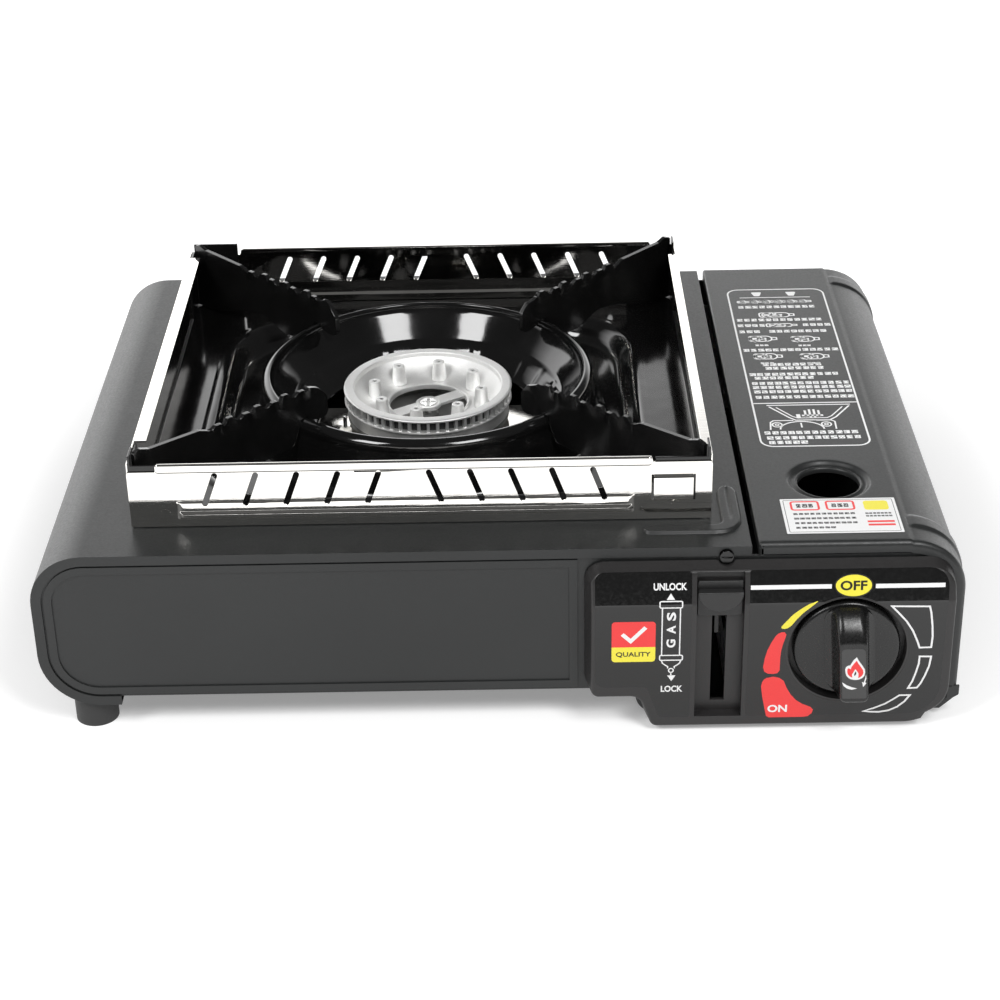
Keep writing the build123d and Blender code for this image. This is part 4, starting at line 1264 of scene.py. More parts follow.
# ------------------------------------------------------------------ canister lid
@dataclass
class Lid:
    """Hinged lid: one pressed sheet over the bay, printed, with a hand hole."""

    left: float = 93.5
    right: float = 170.0
    corner: float = 21.0
    foot: float = 13.0
    end: float = 125.5
    fold: float = 2.0
    sheet_thickness: float = 0.8
    side_flange: float = 0.9
    end_flange: float = 9.0
    hollows: Sequence[tuple[float, float, float]] = ((0.55, 54.4, 0.9), (0.25, 55.6, 8.0))
    ribs: Path = ((-113.6, -105.6), (107.0, 115.2))
    hole: Point = (125.0, -78.5)
    patch: float = 20.0
    lip: Point = (124.4, -78.3)
    lip_section: Path = (
        (17.0, LID_TOP), (16.0, LID_TOP), (15.6, 75.3), (15.1, 74.85), (14.7, 74.35),
        (14.2, 73.95), (13.7, 73.85), (13.1, 74.05), (12.6, 74.4), (12.2, 74.4), (11.8, 74.1),
        (11.6, 73.7), (11.5, 73.1), (11.5, 72.3))
    hinge: Point = (166.8, 13.0)

    def section(self) -> list[tuple[Vector, Vector, float, float]]:
        """End view of the sheet.

        Returns:
            For each station its point, its outward normal, its run along the sheet, which is
            below zero on the left flange, and how deep the flange at the ends goes at most.
        """
        found = []

        def bend(x: float, z: float, radius: float, turns: Iterable[float], start: float,
                 deepest: float) -> None:
            """Add stations round a bend.

            Args:
                x: Its middle.
                z: Height of its middle.
                radius: Its radius.
                turns: Angles of the stations in degrees.
                start: Run at the top of the bend.
                deepest: Depth of their flange.
            """
            for turn in turns:
                angle = math.radians(turn)
                way = Vector((math.cos(angle), 0.0, math.sin(angle)))
                run = start + radius * (math.pi / 2.0 - angle)
                found.append((Vector((x, 0.0, z)) + way * radius, way, run, deepest))

        for z in (70.4, 72.4, 74.4):
            found.append((Vector((self.left, 0.0, z)), Vector((-1.0, 0.0, 0.0)), -99.0,
                          self.side_flange))
        bend(self.left + 1.0, LID_TOP - 1.0, 1.0, (157.5, 135.0, 112.5), -99.0, self.side_flange)
        top_end = self.right - self.corner
        found += [(Vector((x, 0.0, LID_TOP)), UP, x - self.left, self.end_flange)
                  for x in [self.left + 1.0] + stations(95.0, top_end, 1.0)]
        bend(top_end, LID_TOP - self.corner, self.corner, stations(90.0, 0.0, 90.0 / 34.0)[1:],
             top_end - self.left, self.end_flange)
        side_top = LID_TOP - self.corner
        run = top_end - self.left + self.corner * math.pi / 2.0
        found += [(Vector((self.right, 0.0, z)), Vector((1.0, 0.0, 0.0)), run + side_top - z,
                   self.end_flange) for z in stations(side_top, self.foot, 2.0)[1:]]
        return found

    def rows(self, fine: float = 0.8, coarse: float = 4.0) -> list[Point]:
        """Stations along the lid.

        Args:
            fine: Distance between them near the ends.
            coarse: Distance between them elsewhere.

        Returns:
            Each one's y and depth below the outer surface.
        """
        ends = [(self.end, 4.4), (self.end, 3.0)]
        ends += [(self.end - self.fold * (1.0 - math.cos(a)), self.fold * (1.0 - math.sin(a)))
                 for a in (math.radians(15.0 * i) for i in range(7))]
        inside = self.end - self.fold
        near, far = self.hole[1] - self.patch, self.hole[1] + self.patch
        plain = []
        for start, end, step in ((-inside, near, fine), (near, far, coarse),
                                 (far, -near, coarse), (-near, inside, fine)):
            plain += stations(start, end, step)[1:]
        return [(-y, d) for y, d in ends] + [(y, 0.0) for y in plain[:-1]] + ends[::-1]

    def sunk(self, run: float, y: float) -> float:
        """Depth of the pressing: the right part lies lower, but for two ribs across it.

        Args:
            run: Way along the section from the left edge.
            y: Place along the lid.

        Returns:
            How far the sheet lies under the outer surface.
        """
        if run < 0.0:
            return 0.0
        depth = sum(deep * smooth_step((run - start) / over) for deep, start, over in self.hollows)
        rib = sum(smooth_step((y - low + 0.8) / 1.6) * smooth_step((high + 0.8 - y) / 1.6)
                  for low, high in self.ribs)
        return depth * (1.0 - rib * smooth_step((run - 55.5) / 2.0))

    def sheet(self) -> Mesh:
        """The pressed sheet with its flanges and the sunk lip of its hand hole.

        Returns:
            The mesh.
        """
        bm = bmesh.new()
        section = self.section()
        rows = self.rows()
        grid = loft(bm, [[point - way * (min(depth, deepest) + self.sunk(run, y))
                          + Vector((0.0, y, 0.0)) for point, way, run, deepest in section]
                         for y, depth in rows], closed=False)
        near = self.patch + 0.01
        across = [i for i, (point, _, run, _) in enumerate(section) if run > 0.0
                  and point.z > LID_TOP - 0.01 and abs(point.x - self.hole[0]) < near]
        along = [j for j, (y, _) in enumerate(rows) if abs(y - self.hole[1]) < near]
        last = [grid[along[0]][i] for i in across] + [grid[j][across[-1]] for j in along[1:]]
        last += [grid[along[-1]][i] for i in across[-2::-1]]
        last += [grid[j][across[0]] for j in along[-2:0:-1]]
        inner = [grid[j][i] for j in along[1:-1] for i in across[1:-1]]
        bmesh.ops.delete(bm, geom=inner, context="VERTS")
        middle = Vector((*self.lip, 0.0))
        ways = [(vert.co.xy - middle.xy).normalized().to_3d() for vert in last]
        for radius, z in self.lip_section:
            last = grow(bm, last, [middle + way * radius + UP * z for way in ways])
        bmesh.ops.remove_doubles(bm, verts=bm.verts, dist=1e-3)
        thicken(bm, self.sheet_thickness)
        return bm

    def extras(self, bm: Mesh) -> None:
        """Flange feet and hinge knuckles.

        Args:
            bm: The mesh that gets them.
        """
        foot = rounded([
            (165.6, 6.6, 0.4), (170.0, 9.4, 0.8), (170.0, 13.4, 0.0), (165.6, 13.4, 0.0)], 3)
        knuckle = arc(self.hinge, 2.4, 0.0, 322.0, 23) + arc(self.hinge, 1.55, 322.0, 0.0, 23)
        for outline, start, end in ((foot, 124.8, 125.5), (knuckle, 70.0, 118.0)):
            extruded(bm, outline, (-end, -start))
            extruded(bm, outline, (start, end))

    def build(self) -> None:
        """Make the lid, its print and its label."""
        bm = self.sheet()
        self.extras(bm)
        bmesh.ops.recalc_face_normals(bm, faces=bm.faces)
        settle("canister_lid_skin", bm, Look.LID, "lid", "canister_lid", crease=40.0)
        LidPrint().build()


@dataclass
class LidPrint:
    """Generic instruction panel and a plain label on the lid."""

    lift: float = 0.05
    label_lift: float = 0.1
    ink_lift: float = 0.04
    line: float = 0.7
    thin: float = 0.65
    chance: random.Random = field(default_factory=lambda: random.Random(4))
    rows: Sequence[tuple[float, float, float]] = (
        (105.6, 140.6, 81.6), (103.8, 141.9, 67.9), (103.6, 114.4, 62.2), (131.6, 142.8, 62.2),
        (103.7, 111.5, 55.9), (116.5, 141.8, 55.9), (103.6, 142.5, 37.2), (110.2, 135.8, 22.9),
        (111.0, 135.4, 19.4), (103.8, 141.3, 13.6), (105.6, 131.0, 10.2), (104.0, 143.4, 5.2),
        (104.0, 143.4, 1.4), (104.1, 143.2, -2.6), (104.2, 142.8, -7.6), (104.4, 142.4, -39.1),
        (105.0, 142.3, -43.4), (105.4, 121.5, -47.3))

    def dashes(self, art: Artwork, u0: float, u1: float, v: float,
               height: float = 2.6, pitch: float = 3.1) -> None:
        """Draw a row of small marks, each three bars with short uprights between them.

        Args:
            art: The print.
            u0: Where the row starts.
            u1: Where it ends.
            v: Its middle.
            height: Height of a mark.
            pitch: Distance from mark to mark.
        """
        u = u0
        while u < u1 - 1.0:
            width = pitch * self.chance.uniform(0.76, 0.9)
            for level in (-0.385, 0.0, 0.385):
                length = width * self.chance.uniform(0.86, 1.0)
                art.bar(u + width / 2.0, v + level * height, length, height * 0.23)
            for level in (-0.1925, 0.1925):
                for share in self.chance.sample((0.12, 0.37, 0.62, 0.87), 2):
                    art.bar(u + width * share, v + level * height, width * 0.24, height * 0.15)
            u += pitch

    def can(self, art: Artwork, u: float, v: float, length: float, height: float) -> None:
        """Draw a canister lying on its side.

        Args:
            art: The print.
            u: Where it starts.
            v: Its middle.
            length: Its length.
            height: Its height.
        """
        half = height / 2.0
        end = u + length
        art.stroke(rounded([(u, v - half, half * 0.5), (end, v - half, half),
                            (end, v + half, half), (u, v + half, half * 0.5)], 4), self.line)
        art.stroke([(end, v - half * 0.5), (end + 2.0, v - half * 0.4),
                    (end + 2.0, v + half * 0.4), (end, v + half * 0.5)], self.thin, closed=False)
        art.bar(u + length * 0.45, v, length * 0.62, height * 0.34)
        art.stroke([(u + length * 0.2, v - half * 1.3), (u + length * 0.5, v + half * 0.9),
                    (u + length * 0.8, v - half * 1.2)], self.line, closed=False)
        art.stroke(circle(u + length * 0.25, v, half * 0.95, 16), self.thin)

    def section_view(self, art: Artwork) -> None:
        """Draw a pan over a burner.

        Args:
            art: The print.
        """
        for width, points in (
                (self.line, [(107.8, -15.0), (141.2, -15.0)]),
                (self.line, [(108.6, -16.2), (115.6, -26.0), (118.0, -28.4), (131.6, -28.4),
                             (134.2, -26.0), (140.6, -16.2)]),
                (0.55, [(111.4, -17.0), (117.0, -25.0), (119.0, -26.6), (130.6, -26.6),
                        (132.6, -25.0), (137.8, -17.0)]),
                (self.thin, [(107.2, -36.4), (107.8, -30.0), (109.0, -28.6), (117.0, -28.6)]),
                (self.thin, [(133.0, -36.4), (133.2, -30.0), (132.0, -28.8), (126.0, -28.8)]),
                (self.line, arc((119.7, -36.2), 8.6, 180.0, 0.0, 14, 6.6 / 8.6)),
                (self.thin, [(119.7, -34.8), (119.7, -30.8)])):
            art.stroke(points, width, closed=False)
        for u in (110.2, 129.6):
            art.stroke(circle(u, -32.2, 1.9, 20), self.thin)
            art.stroke(circle(u, -32.2, 0.7, 12), 0.5)
        for u in (122.4, 124.2, 126.0, 127.8):
            art.bar(u, -22.6, 0.9, 8.0 - abs(u - 125.1))
        art.bar(125.1, -24.4, 8.4, 1.3)
        art.bar(119.4, -24.8, 1.6, 3.0)

    def panel(self) -> None:
        """White instruction panel."""
        art = Artwork()
        art.stroke(box(102.3, 100.6, 144.6, -50.6, 5.0), 0.75)
        art.bar(123.45, -13.1, 42.0, 0.75)
        for u in (115.0, 130.2):
            art.fill(rounded([(u - 2.4, 97.6, 0.6), (u - 1.2, 93.4, 0.6), (u + 1.2, 93.4, 0.6),
                              (u + 2.4, 97.6, 0.6)], 3))
        art.bar(122.8, 91.8, 31.0, 0.6)
        for index in range(6):
            self.can(art, 106.6 + index * 5.3, 87.2, 3.0, 3.2)
        for row in self.rows:
            self.dashes(art, *row)
        self.can(art, 114.0, 73.0, 13.0, 4.4)
        self.can(art, 116.0, 62.2, 11.0, 3.0)
        for u, v in ((107.2, 48.6), (125.2, 47.8), (107.6, 31.0), (127.0, 30.4)):
            self.can(art, u, v, 9.6, 5.2)
            self.dashes(art, u + 2.0, u + 8.2, v - 6.6, 1.5, 1.9)
        self.section_view(art)
        settle("lid_print", art.lying(LID_TOP + self.lift), Look.LID_INK, "lid")

    def label(self) -> None:
        """Plain white label with rows of marks."""
        paper, grey, red, yellow = (Artwork() for _ in range(4))
        paper.fill(box(104.3, -93.0, 146.6, -118.8, 0.4, steps=2))
        for v, end in ((-104.4, 131.0), (-107.8, 131.0), (-111.2, 131.0), (-114.6, 122.0)):
            self.dashes(grey, 108.0, end, v, 1.3, 2.1)
        for v in (-104.6, -106.6):
            self.dashes(grey, 134.4, 144.0, v, 1.0, 1.4)
        for u in (108.0, 121.0):
            red.stroke(box(u, -95.2, u + 10.0, -101.4, 1.0, steps=3), 0.8)
            self.dashes(grey, u + 1.8, u + 8.6, -98.3, 2.6, 2.2)
        for v in (-110.7, -113.1):
            red.bar(139.3, v, 9.8, 1.3)
        yellow.fill(box(134.6, -95.2, 143.6, -102.0, 1.2, steps=3))
        grey.stroke(box(105.4, -94.1, 145.5, -117.7, 0.3, steps=2), 0.2)
        for name, art, look, layer in (("lid_label", paper, Look.PAPER, 0),
                                       ("lid_label_grey", grey, Look.BLACK, 1),
                                       ("lid_label_red", red, Look.RED, 1),
                                       ("lid_label_yellow", yellow, Look.YELLOW, 1)):
            height = LID_TOP + self.label_lift + self.ink_lift * layer
            settle(name, art.lying(height), look, "lid")

    def build(self) -> None:
        """Make both."""
        self.panel()
        self.label()


# ------------------------------------------------------------------ pan, windshield and trivets
def box_ring(half_x: float, half_y: float, corner: float, z: float,
             steps: int = 14) -> list[Vector]:
    """Rounded rectangle about the pan's middle.

    Args:
        half_x: Half its width.
        half_y: Half its depth.
        corner: Radius of its corners.
        z: Its height.
        steps: Straight runs in each corner and along each side.

    Returns:
        Its points.
    """
    arcs = [arc((sx * (half_x - corner), sy * (half_y - corner)), corner, 90.0 * index,
                90.0 * (index + 1), steps)
            for index, (sx, sy) in enumerate(((1, 1), (-1, 1), (-1, -1), (1, -1)))]
    points = []
    for corner_arc, (next_start, *_) in zip(arcs, arcs[1:] + arcs[:1]):
        points += [Vector(point) for point in corner_arc]
        side = points[-1]
        points += [side.lerp(Vector(next_start), i / steps) for i in range(1, steps)]
    return [PAN_MIDDLE + Vector((*point, z)) for point in points]


@dataclass
class DripPan:
    """Enamelled pan and the bowl round the burner."""

    rim: Path = ((0.0, 74.9), (0.1, 75.2), (0.5, 75.3))
    profile: Path = (
        (6.0, 75.3), (4.8, 75.42), (3.6, 75.62), (2.4, 75.68), (1.2, 75.5), (0.2, 74.9),
        (-0.7, 73.8), (-1.7, 71.9), (-2.8, 69.8), (-3.6, 68.4), (-4.4, 67.5), (-5.4, 66.95),
        (-6.8, 66.66), (-8.6, 66.6))
    opening: float = 71.0
    wall: Path = (
        (73.2, 66.66), (72.6, 67.1), (71.6, 67.5), (70.7, 68.1), (70.2, 69.0), (69.7, 71.0),
        (69.0, 74.2), (68.2, 78.4), (67.5, 82.0), (66.8, 84.4))
    roll: Point = (63.2, 86.3)
    roll_radius: float = 3.7
    cone: Path = (
        (62.75, 89.5), (62.7, 88.4), (62.35, 87.0), (61.6, 85.8), (59.0, 82.4), (56.8, 79.4),
        (55.2, 77.2), (54.5, 76.4), (53.6, 75.9), (52.7, 75.3), (51.4, 73.7), (49.4, 71.2),
        (47.4, 68.9), (46.4, 68.2), (45.2, 68.0))
    ribs: int = 26
    rib_steps: int = 12
    rib_height: float = 0.14
    rib_span: Point = (46.4, 52.8)

    def pan(self) -> None:
        """Square pan with a sunk floor."""
        bm = bmesh.new()
        rings = [box_ring(104.9 - d, 99.8 - d, 6.0 - d, z) for d, z in self.rim]
        rings += [box_ring(84.0 + d, 80.0 + d, 34.0 + d, z) for d, z in self.profile]
        floor = rings[-1]
        for share in (0.25, 0.5, 0.75, 1.0):
            ring = []
            for point in floor:
                way = (point - PAN_MIDDLE).xy.normalized().to_3d()
                edge = PAN_MIDDLE + way * self.opening + UP * point.z
                ring.append(point.lerp(edge, share))
            rings.append(ring)
        loft(bm, rings)
        thicken(bm, 0.7)
        settle("drip_pan_skin", bm, Look.PAN, "pan", "drip_pan")

    def bowl(self) -> None:
        """Ring-shaped bowl with a rolled rim and small ribs on its inner step."""
        bm = bmesh.new()
        roll = arc(self.roll, self.roll_radius, -20.0, 88.0, 9)
        raised = {0: 1.0, 1: 0.6, self.rib_steps - 1: 0.6}
        count = self.ribs * self.rib_steps
        low, high = self.rib_span
        rings = []
        for radius, z in (*self.wall, *roll, *self.cone):
            ring = []
            for i in range(count):
                rib = self.rib_height * raised.get(i % self.rib_steps, 0.0)
                rib = rib if low < radius < high else 0.0
                angle = math.tau * i / count
                ring.append(PAN_MIDDLE + Vector(((radius - rib) * math.cos(angle),
                                                 (radius - rib) * math.sin(angle), z + rib)))
            rings.append(ring)
        loft(bm, rings)
        thicken(bm, 0.6)
        settle("pan_bowl_skin", bm, Look.PAN, "pan", "pan_bowl", crease=50.0)

    def build(self) -> None:
        """Make both."""
        self.pan()
        self.bowl()


@dataclass
class Burner:
    """Cast burner head with posts, a spoked well and a row of port slots, and its screw."""

    top: float = 82.3
    ports: int = 55
    posts: int = 8
    post_ring: float = 21.9
    post_turn: float = 34.5
    spoke_turn: float = 34.0
    dish: Path = (
        (15.7, -8.7), (15.8, -8.1), (16.2, -7.85), (16.7, -7.9), (17.0, -8.3), (17.6, -8.5),
        (20.0, -8.3), (22.6, -7.5), (25.2, -6.1), (27.4, -4.3), (28.7, -2.7), (29.4, -1.9),
        (29.6, -1.6), (29.8, -0.3), (30.1, 0.0), (33.1, 0.0), (33.6, -0.15), (33.9, -0.5),
        (33.9, -0.9), (33.6, -1.2), (31.8, -1.3), (31.2, -2.4), (30.2, -4.6), (27.6, -7.2),
        (24.0, -9.0), (20.0, -9.9), (15.7, -10.0))
    wall: Path = (
        (31.0, -5.2), (33.3, -5.2), (33.7, -5.4), (33.8, -5.8), (33.6, -6.2), (32.9, -6.5),
        (32.6, -7.0), (32.6, -11.2), (31.0, -11.2))
    hub: Path = (
        (0.01, -8.6), (3.9, -8.6), (4.0, -8.25), (4.3, -8.1), (4.8, -8.1), (5.1, -8.4), (5.1, -9.9),
        (0.01, -9.9))
    post: Path = (
        (0.01, -6.0), (0.85, -6.0), (0.85, -0.35), (0.95, -0.25), (2.1, -0.25), (2.35, -0.45),
        (2.55, -2.5), (3.1, -8.2))
    port_bar: tuple[float, float, float] = (2.2, 1.15, 3.94)
    port_place: Point = (32.1, -3.25)
    spoke: tuple[float, float, float] = (32.0, 6.3, 1.2)
    spoke_height: float = -9.3
    # Painted shade: the dark ring behind the ports, and the dark discs in the drilled posts.
    soot_wall: Path = ((31.5, -1.25), (31.5, -5.25))
    soot_drill: Point = (0.86, -0.9)
    screw_scale: float = 1.15
    screw_drop: float = 0.5

    def middle(self) -> Vector:
        """The middle of its top."""
        return PAN_MIDDLE + UP * self.top

    def post_places(self) -> list[Vector]:
        """Where the posts stand.

        Returns:
            The middle of each, at the height of the burner's top.
        """
        return [self.middle() + Vector((*point, 0.0)) for point in
                arc((0.0, 0.0), self.post_ring, self.post_turn, self.post_turn + 360.0,
                    self.posts)[:-1]]

    def block(self, bm: Mesh, degrees: float, place: Sequence[float],
              size: tuple[float, float, float]) -> None:
        """Add a block, turned about the middle.

        Args:
            bm: The mesh that gets it.
            degrees: The turn.
            place: Where it is before the turn, counted from the middle.
            size: Its size.
        """
        turn = Matrix.Rotation(math.radians(degrees), 4, "Z")
        bmesh.ops.create_cube(bm, size=1.0, matrix=Matrix.Translation(self.middle()) @ turn
                              @ Matrix.Translation(place) @ Matrix.Diagonal((*size, 1.0)))

    def head(self) -> None:
        """The casting."""
        bm = bmesh.new()
        for section in (self.dish, self.wall, self.hub):
            turned(bm, section, self.middle(), 2 * self.ports, closed=section is not self.hub)
        for place in self.post_places():
            turned(bm, self.post, place, 20)
        for index in range(self.ports):
            self.block(bm, 360.0 * (index + 0.5) / self.ports,
                       (self.port_place[0], 0.0, self.port_place[1]), self.port_bar)
        self.block(bm, self.spoke_turn, (0.0, 0.0, self.spoke_height), self.spoke)
        bmesh.ops.remove_doubles(bm, verts=bm.verts, dist=1e-4)
        bmesh.ops.recalc_face_normals(bm, faces=bm.faces)
        settle("burner_head_skin", bm, Look.CAST, "stove", "burner_head")

    def soot(self) -> None:
        """Painted shade: near-black surfaces behind the ports and in the drilled posts, for the
        shade inside the casting.
        """
        bm = bmesh.new()
        turned(bm, self.soot_wall, self.middle(), 2 * self.ports)
        radius, depth = self.soot_drill
        for place in self.post_places():
            bmesh.ops.create_circle(bm, cap_ends=True, radius=radius, segments=16,
                                    matrix=Matrix.Translation(place + UP * depth))
        settle("burner_painted_shade", bm, Look.SOOT, "stove")

    def screw(self) -> None:
        """The screw, a little broader and lower than its solid."""
        bm = drawn("burner_screw")
        wider = Matrix.Diagonal((self.screw_scale, self.screw_scale, 1.0, 1.0))
        bmesh.ops.transform(bm, verts=bm.verts, matrix=Matrix.Translation(
            PAN_MIDDLE - UP * self.screw_drop) @ wider @ Matrix.Translation(-PAN_MIDDLE))
        soften(bm, 0.15)
        settle("burner_screw_skin", bm, Look.STEEL, "stove", "burner_screw")

    def build(self) -> None:
        """Make the head, its painted shade and its screw."""
        self.head()
        self.soot()
        self.screw()


@dataclass
class LongWall:
    """Front or rear wall of the windshield: slots, a swaged bead, a folded hem and a strap loop."""

    node: str
    turned: bool
    face: float = -101.0
    foot: float = 74.8
    head: float = 100.45
    half: float = 106.1
    sheet: float = 0.6
    slot_foot: float = 84.4
    lean: Point = (2.0, -2.15)
    slot_head: float = 95.6
    slot_pitch: float = 14.85
    bead: Path = (
        (77.7, 0.0), (77.9, 0.05), (78.2, 0.4), (78.6, 0.8), (79.1, 1.04), (79.7, 1.1),
        (80.3, 1.02), (80.8, 0.85), (81.2, 0.66), (81.5, 0.62), (81.9, 0.64), (83.2, 0.54),
        (84.4, 0.46), (84.75, 0.34), (84.95, 0.18), (85.15, 0.0))
    bead_ends: Point = (-89.0, 78.0)
    bead_fade: float = 2.5
    hem_section: Path = (
        (-101.05, 97.05), (-101.6, 97.1), (-101.85, 97.35), (-101.95, 97.8), (-101.95, 100.1),
        (-101.8, 100.45), (-101.5, 100.65), (-100.9, 100.7), (-100.5, 100.55), (-100.38, 100.2),
        (-100.38, 99.0), (-101.02, 97.6))
    hem_middle: Point = (-101.1, 99.0)
    hem_ends: Path = (
        (-95.4, 0.75), (-95.0, 0.93), (-94.4, 1.0), (83.0, 1.0), (83.6, 0.93), (84.0, 0.75))
    strap_section: Path = (
        (82.3, 0.0), (82.6, 0.18), (82.9, 0.6), (83.3, 0.86), (84.2, 0.92), (91.6, 0.86),
        (92.4, 0.8), (92.75, 0.6), (92.95, 0.18), (93.2, 0.0))
    strap_sides: Point = (84.95, 99.25)
    strap_sheet: float = 0.5

    def swage(self, x: float, z: float) -> float:
        """Form of the bead.

        Args:
            x: Place along the wall.
            z: Height.

        Returns:
            How far the bead stands out there.
        """
        height = 0.0
        for (z0, h0), (z1, h1) in zip(self.bead, self.bead[1:]):
            if z0 <= z <= z1:
                height = h0 + (h1 - h0) * (z - z0) / (z1 - z0)
        start, end = self.bead_ends
        return (height * smooth_step((x - start) / self.bead_fade)
                * smooth_step((end - x) / self.bead_fade))

    def plate(self) -> Mesh:
        """The sheet with its slots and bead.

        Returns:
            The mesh.
        """
        half, head = self.half, self.head
        loops = [rounded([
            (-half, self.foot, 0.0), (half, self.foot, 0.0), (half, 98.2, 1.0), (84.6, 98.2, 0.4),
            (84.0, head, 0.3), (-95.2, head, 0.3), (-95.7, 97.3, 0.4), (-half, 97.3, 1.0)], 3)]
        foot_lean, head_lean = self.lean
        for side in (-1.0, 1.0):
            for index in range(5):
                u = -5.7 + side * 41.0 + (index - 2) * self.slot_pitch
                loops.append(capsule((u + side * foot_lean, self.slot_foot),
                                     (u + side * head_lean, self.slot_head), 1.1))
        for x in (84.5, 99.7):
            loops.append(capsule((x, 83.0), (x, 92.8), 0.42, 4))
        art = Artwork()
        art.fill(*loops)
        bm = art.bm
        merge_flat(bm, 1.0)
        start, end = self.bead_ends
        slice_at(bm, (0.0, 1.0, 0.0), [z for z, _ in self.bead])
        for low, high, step in ((start, start + self.bead_fade, 0.8),
                                (end - self.bead_fade, end, 0.8), (start + 5.0, end - 5.0, 12.0)):
            slice_at(bm, (1.0, 0.0, 0.0), stations(low, high, step))
        for vert in bm.verts:
            x, z, _ = vert.co
            vert.co = (x, self.face - self.swage(x, z), z)
        thicken(bm, self.sheet, Vector((0.0, -1.0, 0.0)))
        return bm

    def hem(self, bm: Mesh) -> None:
        """Add the flat fold along the top edge.

        Args:
            bm: The mesh that gets it.
        """
        y0, z0 = self.hem_middle
        loft(bm, [[(x, y0 + (y - y0) * scale, z0 + (z - z0) * scale)
                   for y, z in self.hem_section] for x, scale in self.hem_ends],
             first=True, last=True)

    def strap(self, bm: Mesh) -> None:
        """Add the loop pressed out of the sheet between two slits.

        Args:
            bm: The mesh that gets it.
        """
        out = [(self.face - 0.03 - d, z) for z, d in self.strap_section]
        back = [(y + self.strap_sheet, z) for y, z in out[-2:0:-1]]
        loft(bm, [[(x, y, z) for y, z in out + back] for x in self.strap_sides],
             first=True, last=True)

    def build(self) -> None:
        """Make the wall."""
        bm = self.plate()
        self.hem(bm)
        self.strap(bm)
        bmesh.ops.recalc_face_normals(bm, faces=bm.faces)
        turn = Matrix.Rotation(math.pi if self.turned else 0.0, 4, "Z")
        bmesh.ops.transform(bm, verts=bm.verts, matrix=Matrix.Translation(PAN_MIDDLE) @ turn)
        settle(f"{self.node}_skin", bm, Look.SHIELD, "pot_rest", self.node)


@dataclass
class Rivets:
    """Rivets at the windshield's corners, hammered flush with its walls."""

    face: float = 101.12

    def build(self) -> None:
        """Make the piece."""
        bm = drawn("corner_rivets")
        for vert in bm.verts:
            out = vert.co.y - PAN_MIDDLE.y
            vert.co.y = PAN_MIDDLE.y + min(max(out, -self.face), self.face)
        settle("corner_rivets_skin", bm, Look.SHIELD, "pot_rest", "corner_rivets")


@dataclass
class Trivet:
    """Diagonal plate with a scalloped, slightly waved top edge and a hooked nose."""

    end: str
    hand: str
    top: float = 102.5
    reach: float = 142.8
    half: float = 0.75
    wave: float = 1.0
    scallop: float = 6.6
    scallops: int = 7
    slant: float = math.atan2(98.8, 103.9)

    def outline(self) -> list[Point]:
        """Side view.

        Returns:
            Its points as (distance from the middle, height).
        """
        top, reach = self.top, self.reach
        corners = [(reach, 76.0, 0.5), (reach, top + 1.4, 1.2), (reach - 3.0, top + 2.3, 1.2),
                   (reach - 7.0, top + 0.9, 2.0), (113.0, top, 2.0)]
        for index in range(self.scallops):
            start = 108.0 - index * self.scallop
            corners += [(start, top - 2.1, 0.8), (start - 1.7, top - 0.3, 1.1),
                        (start - 4.5, top - 0.3, 1.1), (start - 6.0, top - 2.1, 0.8)]
        corners += [(60.8, top - 0.9, 1.0), (56.0, top - 2.4, 2.0), (52.6, top - 6.5, 3.0),
                    (52.5, 89.2, 1.2), (54.0, 87.4, 1.0), (57.6, 87.4, 0.8), (62.2, 88.8, 0.5),
                    (62.2, 90.3, 0.5), (66.6, 90.3, 0.5), (66.6, 88.0, 0.8), (68.0, 85.0, 1.5),
                    (70.5, 80.0, 2.5), (86.0, 79.0, 6.0), (98.0, 84.0, 8.0), (112.0, 82.0, 8.0),
                    (126.0, 77.6, 4.0), (reach - 8.0, 76.0, 1.0)]
        return rounded(corners, 4)

    def build(self) -> None:
        """Make the plate."""
        art = Artwork()
        art.fill(self.outline())
        bm = art.bm
        merge_flat(bm, 1.0)
        bmesh.ops.recalc_face_normals(bm, faces=bm.faces)
        bmesh.ops.solidify(bm, geom=bm.faces[:], thickness=2.0 * self.half)
        middle = sum(v.co.z for v in bm.verts) / len(bm.verts)
        for vert in bm.verts:
            u, v, w = vert.co
            vert.co = (u, w - middle, v)
        soften(bm, 0.32, 2, 60.0)
        slice_at(bm, UP, (96.5, 98.5))
        slice_at(bm, (1.0, 0.0, 0.0), stations(58.0, 112.0, self.scallop / 4.0))
        for vert in bm.verts:
            x, y, z = vert.co
            share = smooth_step((z - 95.5) / 5.0) * smooth_step((112.0 - x) / 4.0)
            bow = math.sin((x - 61.8) / self.scallop * math.pi)
            vert.co.y = y + self.wave * share * bow
        angle = self.slant if self.hand == "right" else math.pi - self.slant
        turn = Matrix.Rotation(angle if self.end == "rear" else -angle, 4, "Z")
        bmesh.ops.recalc_face_normals(bm, faces=bm.faces)
        bmesh.ops.transform(bm, verts=bm.verts, matrix=Matrix.Translation(PAN_MIDDLE) @ turn)
        node = f"trivet_{self.end}_{self.hand}"
        settle(f"{node}_skin", bm, Look.TRIVET, "pot_rest", node, crease=50.0)


